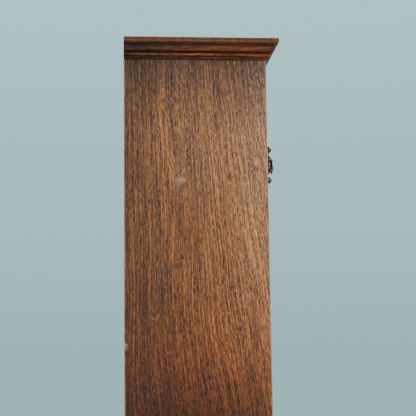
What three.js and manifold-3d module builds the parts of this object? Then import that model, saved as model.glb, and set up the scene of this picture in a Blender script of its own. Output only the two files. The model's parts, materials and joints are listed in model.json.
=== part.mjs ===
// A longcase clock: an oak case with a glazed dial door and trunk door, and a weight-driven movement with a
// seconds pendulum. Millimetres, +Z up, front towards -Y, origin on the floor under the middle of the whole.
import * as THREE from "three";
import { mergeVertices } from "three/addons/utils/BufferGeometryUtils.js";
import Module from "manifold-3d";

const wasm = await Module();
wasm.setup();

// Case
const height = 1960;
const caseWidth = 460;
const caseDepth = 260;
const boardThickness = 18;
const backThickness = 8;
const topThickness = 8;
const topOverhang = 22;
const corniceHeight = 28;
const plinthHeight = 110;
const plinthProjection = 15;
const bottomBoardRise = 60;
const seam = 0.3; // gap left where two pieces meet
const mitreGap = 0.4;

// Doors
const doorThickness = 20;
const doorGap = 2;
const dialDrop = 226; // from the top of the case down to the middle of the dial
const dialDoorHeight = 360;
const dialOpening = 280;
const middleRailHeight = 36;
const trunkDoorHeight = 950;
const trunkStile = 60;
const trunkRail = 66;
const glassThickness = 3;
const glassLip = 8; // how far the glass runs under the door frame
const rebateDepth = 9;

// Hinges
const hingeHeight = 60;
const leafThickness = 1;
const leafDepth = 15;
const knuckleRadius = 3;
const pinRadius = 1.2;
const pinClearance = 0.35;
const hingeInset = 60; // from the end of a door to the middle of its hinge

// Drop handles
const handlePlateWidth = 26;
const handlePlateRise = 36;
const handlePlateDrop = 34;
const handlePlateThickness = 3.5;
const handleBossReach = 9; // how far a boss swells out of the plate
const handleInset = 15; // from the edge of the door to the middle of its handle
const handlePivotRise = 9;
const handlePinReach = 11; // from the door's face to the handle's pin
const dropLength = 25;
const dropWidth = 13;
const dropThickness = 7.6;
const dropEyeRadius = 3.2;

// Dial and hands, measured from the dial's front face at its middle
const dialSetback = 49; // from the front of the case to the dial
const dialSize = 290;
const dialThickness = 2;
const chapterOuterRadius = 135;
const chapterInnerRadius = 97;
const chapterThickness = 1.5;
const minuteHandLength = 126;
const hourHandLength = 88;
const handThickness = 1.5;
const minuteHandStandoff = 12.5;
const hourHandStandoff = 7;

// Movement
const motionWorkDepth = 12; // between the dial and the front plate
const plateThickness = 3;
const plateSpacing = 60;
const plateWidth = 140;
const plateTop = 92;
const seatDrop = 75; // from the middle of the dial down to the seat board
const pillarRadius = 4;
const pivotClearance = 0.4;
const arborRadius = 1.5;
const centreArborRadius = 2;
const pipeWall = 1.6;
const pipeClearance = 0.6;
const meshClearance = 0.25; // each wheel and pinion is this much under its pitch circle
const wheelThickness = 2;
const barrelSpread = 38;
const barrelDrop = 16;
const barrelRadius = 13;
const barrelFlangeRadius = 18;
const barrelLength = 35;
const windingArborRadius = 4;
const lineRadius = 0.75;
const greatWheelTeeth = 112;
const centrePinionLeaves = 7;
const centreWheelTeeth = 64;
const thirdWheelTeeth = 60;
const pinionLeaves = 8;
const trainModule = 0.8;
const escapeWheelTeeth = 30;
const escapeWheelRadius = 18;
const motionWheelTeeth = 36;
const minutePinionLeaves = 6;
const hourWheelTeeth = 72;
const motionWorkCentres = 30;
const minuteStudRadius = 1;
const thirdWheelOffset = 10; // sideways, from the centre arbor
const anchorRise = 26; // above the escape wheel's arbor
const palletClearance = 1.4;
const strikeWheelRadius = 30;

// Pendulum
const pendulumPlane = 115; // behind the dial's front face
const pendulumLength = 994; // from the suspension's bend to the middle of the bob
const bobRadius = 80;
const bobThickness = 28;
const rodRadius = 3;
const rodClearance = 0.5;
const crutchLength = 98;
const forkClearance = 1;
const nutRadius = 9;
const nutHeight = 8;

// Weights
const weightRadius = 30;
const weightHeight = 180;
const weightTravel = 950;
const shortestLine = 60; // line left under the seat board when a weight is fully wound

// Strike
const hammerArborX = -60;
const hammerArborRise = 30;
const hammerReach = 180;
const hammerHeadRadius = 7;
const hammerHeadLength = 24;
const gongGap = 2.5;
const gongRodRadius = 3;
const gongRodLength = 300;
const gongSetback = 21; // from the back board to the middle of the gong rod
const gongBlock = 30;

// Places worked out from the sizes above
const yBack = (caseDepth + topOverhang) / 2;
const yFront = yBack - caseDepth;
const halfWidth = caseWidth / 2;
const innerHalf = halfWidth - boardThickness;
const yBackBoard = yBack - backThickness;
const underTop = height - topThickness;
const dialY = yFront + dialSetback;
const dialZ = height - dialDrop;
const dialDoorBottom = dialZ - dialDoorHeight / 2;
const dialDoorTop = dialZ + dialDoorHeight / 2;
const trunkDoorTop = dialDoorBottom - middleRailHeight - 2 * doorGap;
const trunkDoorBottom = trunkDoorTop - trunkDoorHeight;
const hingeAxisX = innerHalf - seam - leafThickness - seam / 2;
const hingeAxisY = yFront - knuckleRadius;
const doorLeft = -innerHalf + doorGap;
const doorRight = hingeAxisX - seam / 2 - leafThickness - seam;
const handleX = doorLeft + handleInset;
const frontPlateY = motionWorkDepth;
const backPlateY = frontPlateY + plateThickness + plateSpacing;
const seatTop = dialZ - seatDrop;
const seatBottom = seatTop - boardThickness;
const lineOffset = barrelRadius + lineRadius + seam;
const goingLineX = barrelSpread - lineOffset;
const strikeLineX = -barrelSpread - lineOffset;

const oak = { color: 0x6e4c31, roughness: 0.5, metalness: 0 };
const mouldingOak = { color: 0x7a4a29, roughness: 0.45, metalness: 0 };
const rawOak = { color: 0x8a6a48, roughness: 0.8, metalness: 0 };
const bronze = { color: 0x574631, roughness: 0.42, metalness: 0.9 };
const brass = { color: 0xb5924c, roughness: 0.3, metalness: 1 };
const steel = { color: 0x8a8c90, roughness: 0.35, metalness: 1 };
const blued = { color: 0x1d2433, roughness: 0.3, metalness: 0.8 };
const silvered = { color: 0xd6d2c4, roughness: 0.35, metalness: 0.6 };
const glazing = { color: 0xdfe8e6, roughness: 0.05, metalness: 0 };

// Geometry helpers
function box(x0, x1, y0, y1, z0, z1) {
  const geometry = new THREE.BoxGeometry(x1 - x0, y1 - y0, z1 - z0);
  return geometry.translate((x0 + x1) / 2, (y0 + y1) / 2, (z0 + z1) / 2);
}

// A round bar that runs along Y, as every arbor does.
function arbor(radius, y0, y1, x = 0, z = 0, sides = 12) {
  const geometry = new THREE.CylinderGeometry(radius, radius, y1 - y0, sides);
  return geometry.translate(x, (y0 + y1) / 2, z);
}

function uprightBar(radius, z0, z1, x = 0, y = 0, sides = 12) {
  const geometry = new THREE.CylinderGeometry(radius, radius, z1 - z0, sides);
  return geometry.rotateX(Math.PI / 2).translate(x, y, (z0 + z1) / 2);
}

function crossBar(radius, x0, x1, y = 0, z = 0, sides = 12) {
  const geometry = new THREE.CylinderGeometry(radius, radius, x1 - x0, sides);
  return geometry.rotateZ(Math.PI / 2).translate((x0 + x1) / 2, y, z);
}

// An outline drawn in X and Z, given its thickness along Y.
function plate(shape, y0, y1, curveSegments = 6) {
  const geometry = new THREE.ExtrudeGeometry(shape, { depth: y1 - y0, bevelEnabled: false, curveSegments });
  return geometry.rotateX(Math.PI / 2).translate(0, y1, 0);
}

function outline(points) {
  return new THREE.Shape(points.map(([x, z]) => new THREE.Vector2(x, z)));
}

function rectangle(x0, x1, z0, z1) {
  return outline([[x0, z0], [x1, z0], [x1, z1], [x0, z1]]);
}

function circle(radius, x = 0, z = 0) {
  const shape = new THREE.Shape();
  shape.absarc(x, z, radius, 0, 2 * Math.PI, false);
  return shape;
}

// A solid of revolution about Z from points of [radius, height].
function turned(profile, sides = 20) {
  const points = profile.map(([radius, z]) => new THREE.Vector2(radius, z));
  return new THREE.LatheGeometry(points, sides).rotateX(Math.PI / 2);
}

function toSolid(geometry) {
  const bare = geometry.clone();
  bare.deleteAttribute("normal");
  bare.deleteAttribute("uv");
  const merged = mergeVertices(bare, 1e-4);
  const vertProperties = merged.attributes.position.array;
  const triVerts = new Uint32Array(merged.index.array);
  return new wasm.Manifold(new wasm.Mesh({ numProp: 3, vertProperties, triVerts }));
}

function toGeometry(solid) {
  const mesh = solid.getMesh();
  const geometry = new THREE.BufferGeometry();
  geometry.setAttribute("position", new THREE.BufferAttribute(new Float32Array(mesh.vertProperties), 3));
  geometry.setIndex(new THREE.BufferAttribute(new Uint32Array(mesh.triVerts), 1));
  geometry.computeVertexNormals();
  return geometry;
}

function join(first, ...others) {
  return toGeometry(others.reduce((whole, part) => whole.add(toSolid(part)), toSolid(first)));
}

function cut(first, ...tools) {
  return toGeometry(tools.reduce((whole, tool) => whole.subtract(toSolid(tool)), toSolid(first)));
}

function piece(group, name, geometry, finish) {
  const mesh = new THREE.Mesh(geometry, new THREE.MeshStandardMaterial(finish));
  mesh.name = name;
  group.add(mesh);
  return mesh;
}

const clock = new THREE.Group();
const movement = new THREE.Group();
movement.position.set(0, dialY, dialZ);
clock.add(movement);

// Case boards
function buildCase() {
  const floorless = bottomBoardRise;
  for (const [side, sign] of [["left", -1], ["right", 1]]) {
    const board = box(-boardThickness / 2, boardThickness / 2, yFront, yBack, 0, underTop - seam);
    piece(clock, `side_board_${side}`, board, oak).position.x = sign * (halfWidth - boardThickness / 2);
  }
  const inside = innerHalf - seam;
  piece(clock, "back_board", box(-inside, inside, yBackBoard, yBack, floorless, underTop - seam), rawOak);
  const topHalf = halfWidth + topOverhang;
  piece(clock, "top_board", box(-topHalf, topHalf, yFront - topOverhang, yBack, underTop, height), oak);
  const bottomTop = floorless + boardThickness;
  const behindFace = yFront + boardThickness + seam;
  piece(clock, "bottom_board", box(-inside, inside, behindFace, yBackBoard - seam, floorless, bottomTop), rawOak);
  const faces = [
    ["base_front_board", floorless, trunkDoorBottom - doorGap],
    ["middle_face_rail", trunkDoorTop + doorGap, dialDoorBottom - doorGap],
    ["upper_face_rail", dialDoorTop + doorGap, underTop - seam],
  ];
  for (const [name, z0, z1] of faces) {
    piece(clock, name, box(-inside, inside, yFront, yFront + boardThickness, z0, z1), oak);
  }
}

// A moulding along one side of the case. The profile is drawn outward and up from the foot of the moulding,
// and an end that is mitred follows the profile at 45 degrees.
function moulding(profile, run, mitreStart, mitreEnd) {
  const geometry = new THREE.ExtrudeGeometry(profile, { depth: run, bevelEnabled: false, curveSegments: 4 });
  const position = geometry.attributes.position;
  for (let i = 0; i < position.count; i += 1) {
    const outward = position.getX(i);
    const along = position.getZ(i);
    const atEnd = along > run / 2;
    const shift = atEnd ? mitreEnd * outward : -mitreStart * outward;
    position.setZ(i, along + shift);
  }
  return geometry;
}

function corniceProfile() {
  const shape = new THREE.Shape();
  shape.moveTo(seam, 0);
  shape.lineTo(2.8, 0.4);
  shape.lineTo(2.8, 1.8);
  shape.lineTo(5, 2.4);
  shape.lineTo(5, 3.9);
  shape.lineTo(4, 4.6);
  shape.lineTo(7.5, 5.4);
  shape.lineTo(7.5, 9.8);
  shape.lineTo(6.6, 10.3);
  shape.lineTo(6.6, 12.6);
  shape.lineTo(9.5, 13.2);
  shape.quadraticCurveTo(15, 14.5, 15.6, corniceHeight - 7);
  shape.lineTo(14, corniceHeight - 6.6);
  shape.lineTo(14, corniceHeight - 5.4);
  shape.quadraticCurveTo(15, corniceHeight - 1.5, 19, corniceHeight - 0.7);
  shape.lineTo(19, corniceHeight);
  shape.lineTo(seam, corniceHeight);
  return shape;
}

function plinthProfile() {
  const shape = new THREE.Shape();
  const shoulder = plinthHeight - 15;
  shape.moveTo(seam, 0);
  shape.lineTo(plinthProjection, 0);
  shape.lineTo(plinthProjection, shoulder);
  shape.lineTo(plinthProjection - 2, shoulder + 1.5);
  shape.quadraticCurveTo(plinthProjection - 8, shoulder + 3, plinthProjection - 9, plinthHeight - 3);
  shape.lineTo(3, plinthHeight);
  shape.lineTo(seam, plinthHeight);
  return shape;
}

function buildMouldings(name, profile, footZ) {
  const up = new THREE.Vector3(0, 0, 1);
  const front = moulding(profile, caseWidth, 1, 1);
  const place = new THREE.Matrix4();
  place.makeBasis(new THREE.Vector3(0, -1, 0), up, new THREE.Vector3(-1, 0, 0));
  place.setPosition(halfWidth, yFront, footZ);
  piece(clock, `${name}_front`, front.applyMatrix4(place), mouldingOak);
  const left = moulding(profile, caseDepth - mitreGap, 1, 0);
  place.makeBasis(new THREE.Vector3(-1, 0, 0), up, new THREE.Vector3(0, 1, 0));
  place.setPosition(-halfWidth, yFront + mitreGap, footZ);
  piece(clock, `${name}_left`, left.applyMatrix4(place), mouldingOak);
  const right = moulding(profile, caseDepth - mitreGap, 0, 1);
  place.makeBasis(new THREE.Vector3(1, 0, 0), up, new THREE.Vector3(0, -1, 0));
  place.setPosition(halfWidth, yBack, footZ);
  piece(clock, `${name}_right`, right.applyMatrix4(place), mouldingOak);
}

// The seat board carries the movement on two bearers, and is cut for the lines.
function buildSeat() {
  const inside = innerHalf - seam;
  const seatFront = dialY + dialThickness + 2;
  const seatBack = dialY + backPlateY + plateThickness + 4;
  const slotHalf = 9;
  const slotY = dialY + barrelMiddleY();
  const slots = [goingLineX, strikeLineX].map((lineX) =>
    box(lineX - slotHalf, lineX + slotHalf, slotY - slotHalf, slotY + slotHalf, seatBottom - 1, seatTop + 1));
  const board = box(-inside, inside, seatFront, seatBack, seatBottom, seatTop - seam);
  piece(clock, "seat_board", cut(board, ...slots), rawOak);
  const bearer = box(-boardThickness, 0, seatFront, seatBack, seatBottom - seam - 25, seatBottom - seam);
  piece(clock, "seat_bearer_right", bearer, rawOak).position.x = inside;
  piece(clock, "seat_bearer_left", bearer.clone(), rawOak).position.x = boardThickness - inside;
}

// One door: a frame with its glass, two hinges and a drop handle. Door parts are named after the door.
function buildDoor(name, bottom, top, openingHalf, openingBottom, openingTop) {
  const frame = rectangle(doorLeft, doorRight, bottom, top);
  frame.holes.push(rectangle(-openingHalf, openingHalf, openingBottom, openingTop));
  const glassHalf = openingHalf + glassLip;
  const rebateY = yFront + doorThickness - rebateDepth;
  const rebate = box(-glassHalf, glassHalf, rebateY, yFront + doorThickness + 1,
    openingBottom - glassLip, openingTop + glassLip);
  piece(clock, `${name}_frame`, cut(plate(frame, yFront, yFront + doorThickness), rebate), oak);
  const glassY = rebateY + seam;
  const glass = box(seam - glassHalf, glassHalf - seam, glassY, glassY + glassThickness,
    openingBottom - glassLip + seam, openingTop + glassLip - seam);
  piece(clock, `${name}_glass`, glass, glazing);
  buildHinge(`${name}_lower_hinge`, bottom + hingeInset);
  buildHinge(`${name}_upper_hinge`, top - hingeInset);
  buildHandle(name, (bottom + top) / 2);
}

// A butt hinge: the case leaf has the middle knuckle, and the door leaf has the outer two and the pin.
function buildHinge(name, z) {
  const half = hingeHeight / 2;
  const third = hingeHeight / 6;
  const leafFront = hingeAxisY + knuckleRadius + 0.5;
  const leafBack = leafFront + leafDepth;
  const caseX = hingeAxisX + seam / 2;
  const doorX = hingeAxisX - seam / 2 - leafThickness;
  const bore = uprightBar(pinRadius + pinClearance, -third - 1, third + 1);
  const caseKnuckle = cut(uprightBar(knuckleRadius, seam - third, third - seam), bore);
  const caseLeaf = box(caseX, caseX + leafThickness, leafFront, leafBack, -half, half);
  const caseTab = box(caseX, caseX + leafThickness, hingeAxisY + pinRadius + 1, leafFront + 1,
    seam - third, third - seam);
  caseKnuckle.translate(hingeAxisX, hingeAxisY, 0);
  piece(clock, `${name}_case_leaf`, join(caseLeaf, caseTab, caseKnuckle), brass).position.z = z;
  const doorLeaf = box(doorX, doorX + leafThickness, leafFront, leafBack, -half, half);
  const doorParts = [uprightBar(pinRadius, -half, half, hingeAxisX, hingeAxisY)];
  for (const [z0, z1] of [[-half, -third], [third, half]]) {
    doorParts.push(uprightBar(knuckleRadius, z0, z1, hingeAxisX, hingeAxisY));
    doorParts.push(box(doorX, doorX + leafThickness, hingeAxisY, leafFront + 1, z0, z1));
  }
  piece(clock, `${name}_door_leaf`, join(doorLeaf, ...doorParts), brass).position.z = z;
}

// A drop handle: a leaf-shaped back plate with two bosses and two ears, and a drop that hangs from its pin.
function buildHandle(name, z) {
  const group = new THREE.Group();
  group.position.set(handleX, yFront - seam, z);
  clock.add(group);
  const half = handlePlateWidth / 2;
  const shape = new THREE.Shape();
  shape.moveTo(0, handlePlateRise);
  shape.quadraticCurveTo(half * 0.9, handlePlateRise * 0.75, half * 0.45, handlePlateRise * 0.45);
  shape.quadraticCurveTo(half * 1.5, 0, half * 0.45, -handlePlateDrop * 0.45);
  shape.quadraticCurveTo(half * 0.9, -handlePlateDrop * 0.75, 0, -handlePlateDrop);
  shape.quadraticCurveTo(-half * 0.9, -handlePlateDrop * 0.75, -half * 0.45, -handlePlateDrop * 0.45);
  shape.quadraticCurveTo(-half * 1.5, 0, -half * 0.45, handlePlateRise * 0.45);
  shape.quadraticCurveTo(-half * 0.9, handlePlateRise * 0.75, 0, handlePlateRise);
  const back = plate(shape, -handlePlateThickness, 0, 3);
  const boss = (bossZ) => {
    const dome = new THREE.SphereGeometry(1, 12, 8).scale(4.6, handleBossReach, 5.6);
    return dome.translate(0, -handlePlateThickness + 1, bossZ);
  };
  const earThickness = 1.8;
  const earInside = dropEyeRadius * 0.8 + seam;
  const parts = [boss(handlePlateRise - 6.5), boss(6.5 - handlePlateDrop)];
  for (const sign of [-1, 1]) {
    const x0 = Math.min(sign * earInside, sign * (earInside + earThickness));
    parts.push(box(x0, x0 + earThickness, -handlePinReach - 2, -1, handlePivotRise - 3, handlePivotRise + 3));
  }
  const pinHalf = earInside + earThickness;
  parts.push(crossBar(pinRadius, -pinHalf, pinHalf, -handlePinReach, handlePivotRise, 10));
  const behind = box(-half, half, 0, 10, -handlePlateDrop, handlePlateRise);
  piece(group, `${name}_handle_plate`, cut(join(back, ...parts), behind), bronze);
  const eyeHalf = earInside - seam;
  const eye = cut(crossBar(dropEyeRadius, -eyeHalf, eyeHalf), crossBar(pinRadius + pinClearance, -10, 10));
  const profile = [[0, -dropLength], [1.3, -dropLength + 1], [1.6, -dropLength + 4], [3.4, -dropLength + 7],
    [3.8, -dropLength + 10], [2.6, -dropLength + 14], [1.5, -5.5], [1.5, -2.2], [0, -2.2]];
  const drop = turned(profile, 12).scale(dropWidth / 7.6, dropThickness / 7.6, 1);
  const hanging = piece(group, `${name}_drop`, join(eye, drop), bronze);
  hanging.position.set(0, -handlePinReach, handlePivotRise);
}

// Movement: everything below is placed from the middle of the dial's front face, with Y running backwards.
function barrelMiddleY() {
  return frontPlateY + plateThickness + 12 + barrelLength / 2;
}

function toothedDisc(teeth, tipRadius, toothDepth, boreRadius, spokes) {
  const points = [];
  for (let i = 0; i < 2 * teeth; i += 1) {
    const angle = (i * Math.PI) / teeth;
    const radius = i % 2 === 0 ? tipRadius : tipRadius - toothDepth;
    points.push([radius * Math.cos(angle), radius * Math.sin(angle)]);
  }
  const shape = outline(points);
  if (boreRadius > 0) shape.holes.push(circle(boreRadius));
  const rim = tipRadius - toothDepth - 3;
  const hub = Math.max(boreRadius, arborRadius) + 3;
  for (let i = 0; i < spokes; i += 1) {
    const middle = (2 * Math.PI * i) / spokes;
    const spread = Math.PI / spokes;
    const corners = [[hub, -0.45], [rim, -0.75], [rim, 0], [rim, 0.75], [hub, 0.45]];
    const window = corners.map(([radius, share]) => {
      const angle = middle + share * spread;
      return [radius * Math.cos(angle), radius * Math.sin(angle)];
    });
    shape.holes.push(outline(window));
  }
  return shape;
}

function pitchRadii(centres, wheelTeeth, leaves) {
  const wheel = (centres * wheelTeeth) / (wheelTeeth + leaves);
  return { wheel: wheel - meshClearance, pinion: centres - wheel - meshClearance };
}

const barrelCentres = Math.hypot(barrelSpread, barrelDrop);
const greatMesh = pitchRadii(barrelCentres, greatWheelTeeth, centrePinionLeaves);
const centreCentres = (trainModule * (centreWheelTeeth + pinionLeaves)) / 2;
const centreMesh = pitchRadii(centreCentres, centreWheelTeeth, pinionLeaves);
const thirdCentres = (trainModule * (thirdWheelTeeth + pinionLeaves)) / 2;
const thirdMesh = pitchRadii(thirdCentres, thirdWheelTeeth, pinionLeaves);
const minuteMesh = pitchRadii(motionWorkCentres, hourWheelTeeth, minutePinionLeaves);
const thirdRise = Math.sqrt(centreCentres ** 2 - thirdWheelOffset ** 2);
const escapeRise = thirdRise + Math.sqrt(thirdCentres ** 2 - thirdWheelOffset ** 2);
const pivotRise = escapeRise + anchorRise; // the anchor's arbor, in line with the suspension's bend
const pipeInner = centreArborRadius + pipeClearance;
const pipeOuter = pipeInner + pipeWall;
const windingHole = windingArborRadius + 2;

function buildDial() {
  const half = dialSize / 2;
  const shape = rectangle(-half, half, -half, half);
  shape.holes.push(circle(pipeOuter + 2));
  shape.holes.push(circle(windingHole, barrelSpread, -barrelDrop));
  shape.holes.push(circle(windingHole, -barrelSpread, -barrelDrop));
  const feet = [[60, 70], [-60, 70], [60, -60], [-60, -60]].map(([x, z]) =>
    arbor(3, dialThickness / 2, frontPlateY - seam, x, z, 8));
  piece(movement, "dial_plate", join(plate(shape, 0, dialThickness), ...feet), brass);
  const ring = circle(chapterOuterRadius);
  ring.holes.push(circle(chapterInnerRadius));
  piece(movement, "chapter_ring", plate(ring, -chapterThickness - seam, -seam, 24), silvered);
}

// A hand points to twelve. Its hub is a ring that sits on an arbor or a pipe.
function hand(length, width, hubRadius, boreRadius, y) {
  const blade = [[-width * 0.4, 0], [width * 0.4, 0], [width * 0.5, length * 0.45], [width, length * 0.62],
    [width * 0.4, length * 0.72], [0, length], [-width * 0.4, length * 0.72], [-width, length * 0.62],
    [-width * 0.5, length * 0.45]];
  const whole = join(plate(outline(blade), y - handThickness, y), arbor(hubRadius, y - handThickness, y, 0, 0, 16));
  return cut(whole, arbor(boreRadius, y - handThickness - 1, y + 1));
}

function buildHands() {
  const minuteBore = centreArborRadius + seam;
  piece(movement, "minute_hand", hand(minuteHandLength, 5, 6, minuteBore, -minuteHandStandoff), blued);
  const pipeFront = -hourHandStandoff - handThickness - 1.5;
  const wheelY = dialThickness + 2;
  const pipe = new THREE.Shape(circle(pipeOuter).getPoints(6));
  pipe.holes.push(circle(pipeInner));
  const hourTeeth = plate(toothedDisc(hourWheelTeeth, minuteMesh.wheel, 1, pipeOuter - 0.5, 4),
    wheelY, wheelY + wheelThickness);
  const tube = plate(pipe, pipeFront, wheelY + wheelThickness, 6);
  piece(movement, "hour_hand", join(tube, hourTeeth, hand(hourHandLength, 8, 9, pipeInner + 0.5, -hourHandStandoff)),
    blued);
}

// Every arbor that the two plates carry, as [x, z, hole radius in the front plate, hole radius in the back plate].
function plateHoles() {
  const pivot = arborRadius + pivotClearance;
  const winding = windingArborRadius + pivotClearance;
  const centre = centreArborRadius + pivotClearance;
  return [
    [0, 0, centre, centre],
    [barrelSpread, -barrelDrop, winding, pivot],
    [-barrelSpread, -barrelDrop, winding, pivot],
    [thirdWheelOffset, thirdRise, pivot, pivot],
    [0, escapeRise, pivot, pivot],
    [0, pivotRise, pivot, pivot],
    [hammerArborX, hammerArborRise, pivot, pivot],
  ];
}

function buildPlates() {
  const half = plateWidth / 2;
  const front = rectangle(-half, half, seam - seatDrop, plateTop);
  const back = rectangle(-half, half, seam - seatDrop, plateTop);
  for (const [x, z, frontHole, backHole] of plateHoles()) {
    front.holes.push(circle(frontHole, x, z));
    back.holes.push(circle(backHole, x, z));
  }
  const stud = arbor(minuteStudRadius, dialThickness + 1, frontPlateY + 1, 0, -motionWorkCentres);
  piece(movement, "movement_front_plate", join(plate(front, frontPlateY, frontPlateY + plateThickness, 5), stud), brass);
  const pillarX = half - 9;
  const pillars = [[pillarX, plateTop - 10], [-pillarX, plateTop - 10], [pillarX, 12 - seatDrop],
    [-pillarX, 12 - seatDrop]].map(([x, z]) =>
    arbor(pillarRadius, frontPlateY + plateThickness + seam, backPlateY + 1, x, z, 10));
  piece(movement, "movement_back_plate", join(plate(back, backPlateY, backPlateY + plateThickness, 5), ...pillars),
    brass);
}

// An arbor that runs in both plates, with a wheel and a pinion on it.
function buildWheelArbor(name, x, z, wheel, pinion, arborFront, finish = brass) {
  const rearEnd = backPlateY + plateThickness;
  const radius = wheel.arborRadius ?? arborRadius;
  const disc = plate(toothedDisc(wheel.teeth, wheel.radius, wheel.toothDepth, 0, wheel.spokes),
    wheel.y, wheel.y + wheelThickness);
  const parts = [disc, arbor(pinion.radius, pinion.y0, pinion.y1, 0, 0, 10)];
  const mesh = piece(movement, name, join(arbor(radius, arborFront, rearEnd), ...parts), finish);
  mesh.position.set(x, 0, z);
  return mesh;
}

// The going train from the great wheel to the escape wheel, with the motion work in front of the front plate.
function buildGoingTrain() {
  const inFront = frontPlateY + seam;
  const greatY = frontPlateY + plateThickness + 4;
  const centreWheelY = backPlateY - 7;
  const thirdWheelY = frontPlateY + plateThickness + 17;
  const escapeY = escapeWheelY();
  const great = toothedDisc(greatWheelTeeth, greatMesh.wheel, 1, windingArborRadius + pivotClearance, 5);
  const greatWheel = piece(movement, "going_great_wheel", plate(great, greatY, greatY + wheelThickness), brass);
  greatWheel.position.set(barrelSpread, 0, -barrelDrop);
  const centreWheel = { teeth: centreWheelTeeth, radius: centreMesh.wheel, toothDepth: 1.2, spokes: 4,
    y: centreWheelY, arborRadius: centreArborRadius };
  const cannonY = frontPlateY - 1.5 - wheelThickness;
  const centre = buildWheelArbor("centre_wheel", 0, 0, centreWheel,
    { radius: greatMesh.pinion, y0: greatY - 1.5, y1: greatY + wheelThickness + 1.5 },
    -minuteHandStandoff - handThickness - 2);
  const cannon = plate(toothedDisc(motionWheelTeeth, motionWorkCentres / 2 - meshClearance, 1.2, 0, 0),
    cannonY, cannonY + wheelThickness);
  centre.geometry = join(centre.geometry, cannon);
  const minuteWheel = toothedDisc(motionWheelTeeth, motionWorkCentres / 2 - meshClearance, 1.2, 0, 4);
  const minuteBore = arbor(minuteStudRadius + 0.35, 0, frontPlateY);
  const minutePinion = arbor(minuteMesh.pinion, dialThickness + 1.5, cannonY + 0.5, 0, 0, 10);
  const minuteGeometry = join(plate(minuteWheel, cannonY, cannonY + wheelThickness), minutePinion);
  piece(movement, "minute_wheel", cut(minuteGeometry, minuteBore), brass).position.set(0, 0, -motionWorkCentres);
  buildWheelArbor("third_wheel", thirdWheelOffset, thirdRise,
    { teeth: thirdWheelTeeth, radius: thirdMesh.wheel, toothDepth: 1.2, spokes: 4, y: thirdWheelY },
    { radius: centreMesh.pinion, y0: centreWheelY - 1.5, y1: centreWheelY + wheelThickness + 1.5 }, inFront);
  buildWheelArbor("escape_wheel", 0, escapeRise,
    { teeth: escapeWheelTeeth, radius: escapeWheelRadius, toothDepth: 2.6, spokes: 4, y: escapeY },
    { radius: thirdMesh.pinion, y0: thirdWheelY - 1.5, y1: thirdWheelY + wheelThickness + 1.5 }, inFront);
}

function escapeWheelY() {
  return backPlateY - 18;
}

// A barrel with its flanges, on the arbor that is wound from the dial.
function buildBarrel(name, x) {
  const y0 = barrelMiddleY() - barrelLength / 2;
  const y1 = y0 + barrelLength;
  const wall = 2;
  const parts = [
    arbor(barrelRadius, y0, y1, 0, 0, 20),
    arbor(barrelFlangeRadius, y0, y0 + wall, 0, 0, 20),
    arbor(barrelFlangeRadius, y1 - wall, y1, 0, 0, 20),
    arbor(arborRadius, y1 - 1, backPlateY + plateThickness),
  ];
  piece(movement, name, join(arbor(windingArborRadius, seam, y0 + 1), ...parts), brass).position.set(x, 0, -barrelDrop);
}

// The anchor with its two pallets, its arbor, and the crutch whose fork embraces the pendulum rod.
function buildAnchor() {
  const y0 = escapeWheelY() - 0.5;
  const palletRadius = escapeWheelRadius + palletClearance;
  const reachX = palletRadius * Math.SQRT1_2;
  const reachZ = palletRadius * Math.SQRT1_2 - anchorRise;
  const arms = outline([[-3.5, 3.5], [3.5, 3.5], [reachX + 3.4, reachZ + 2.4], [reachX + 3, reachZ - 1.5],
    [reachX, reachZ], [0, -3.5], [-reachX, reachZ], [-reachX - 3, reachZ - 1.5], [-reachX - 3.4, reachZ + 2.4]]);
  const crutchBack = pendulumPlane - rodRadius - 9;
  const rear = crutchBack + 2;
  const prong = rodRadius + forkClearance;
  const parts = [
    plate(arms, y0, y0 + wheelThickness + 1),
    box(-2.5, 2.5, crutchBack, rear, -crutchLength, 2.5),
    box(-prong - 1.6, prong + 1.6, crutchBack, rear, -crutchLength - 5, -crutchLength + 1),
  ];
  for (const sign of [-1, 1]) {
    const x0 = sign > 0 ? prong : -prong - 1.6;
    parts.push(box(x0, x0 + 1.6, rear - 1, pendulumPlane + rodRadius + 2, -crutchLength - 5, -crutchLength + 1));
  }
  piece(movement, "anchor", join(arbor(arborRadius, frontPlateY + seam, rear), ...parts), steel)
    .position.set(0, 0, pivotRise);
}

// The back cock stands on the back plate and carries the pendulum's suspension.
const cockUnderside = pivotRise + 9.5;

function buildBackCock() {
  const y0 = backPlateY + plateThickness + seam;
  const foot = rectangle(-22, 22, pivotRise - 16, cockUnderside + 5);
  const notch = box(-6, 6, y0 - 1, y0 + 4, pivotRise - 17, pivotRise + 6);
  const arm = box(-7, 7, y0, pendulumPlane + 8, cockUnderside, cockUnderside + 5);
  piece(movement, "back_cock", join(cut(plate(foot, y0, y0 + 3), notch), arm), brass);
}

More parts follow.
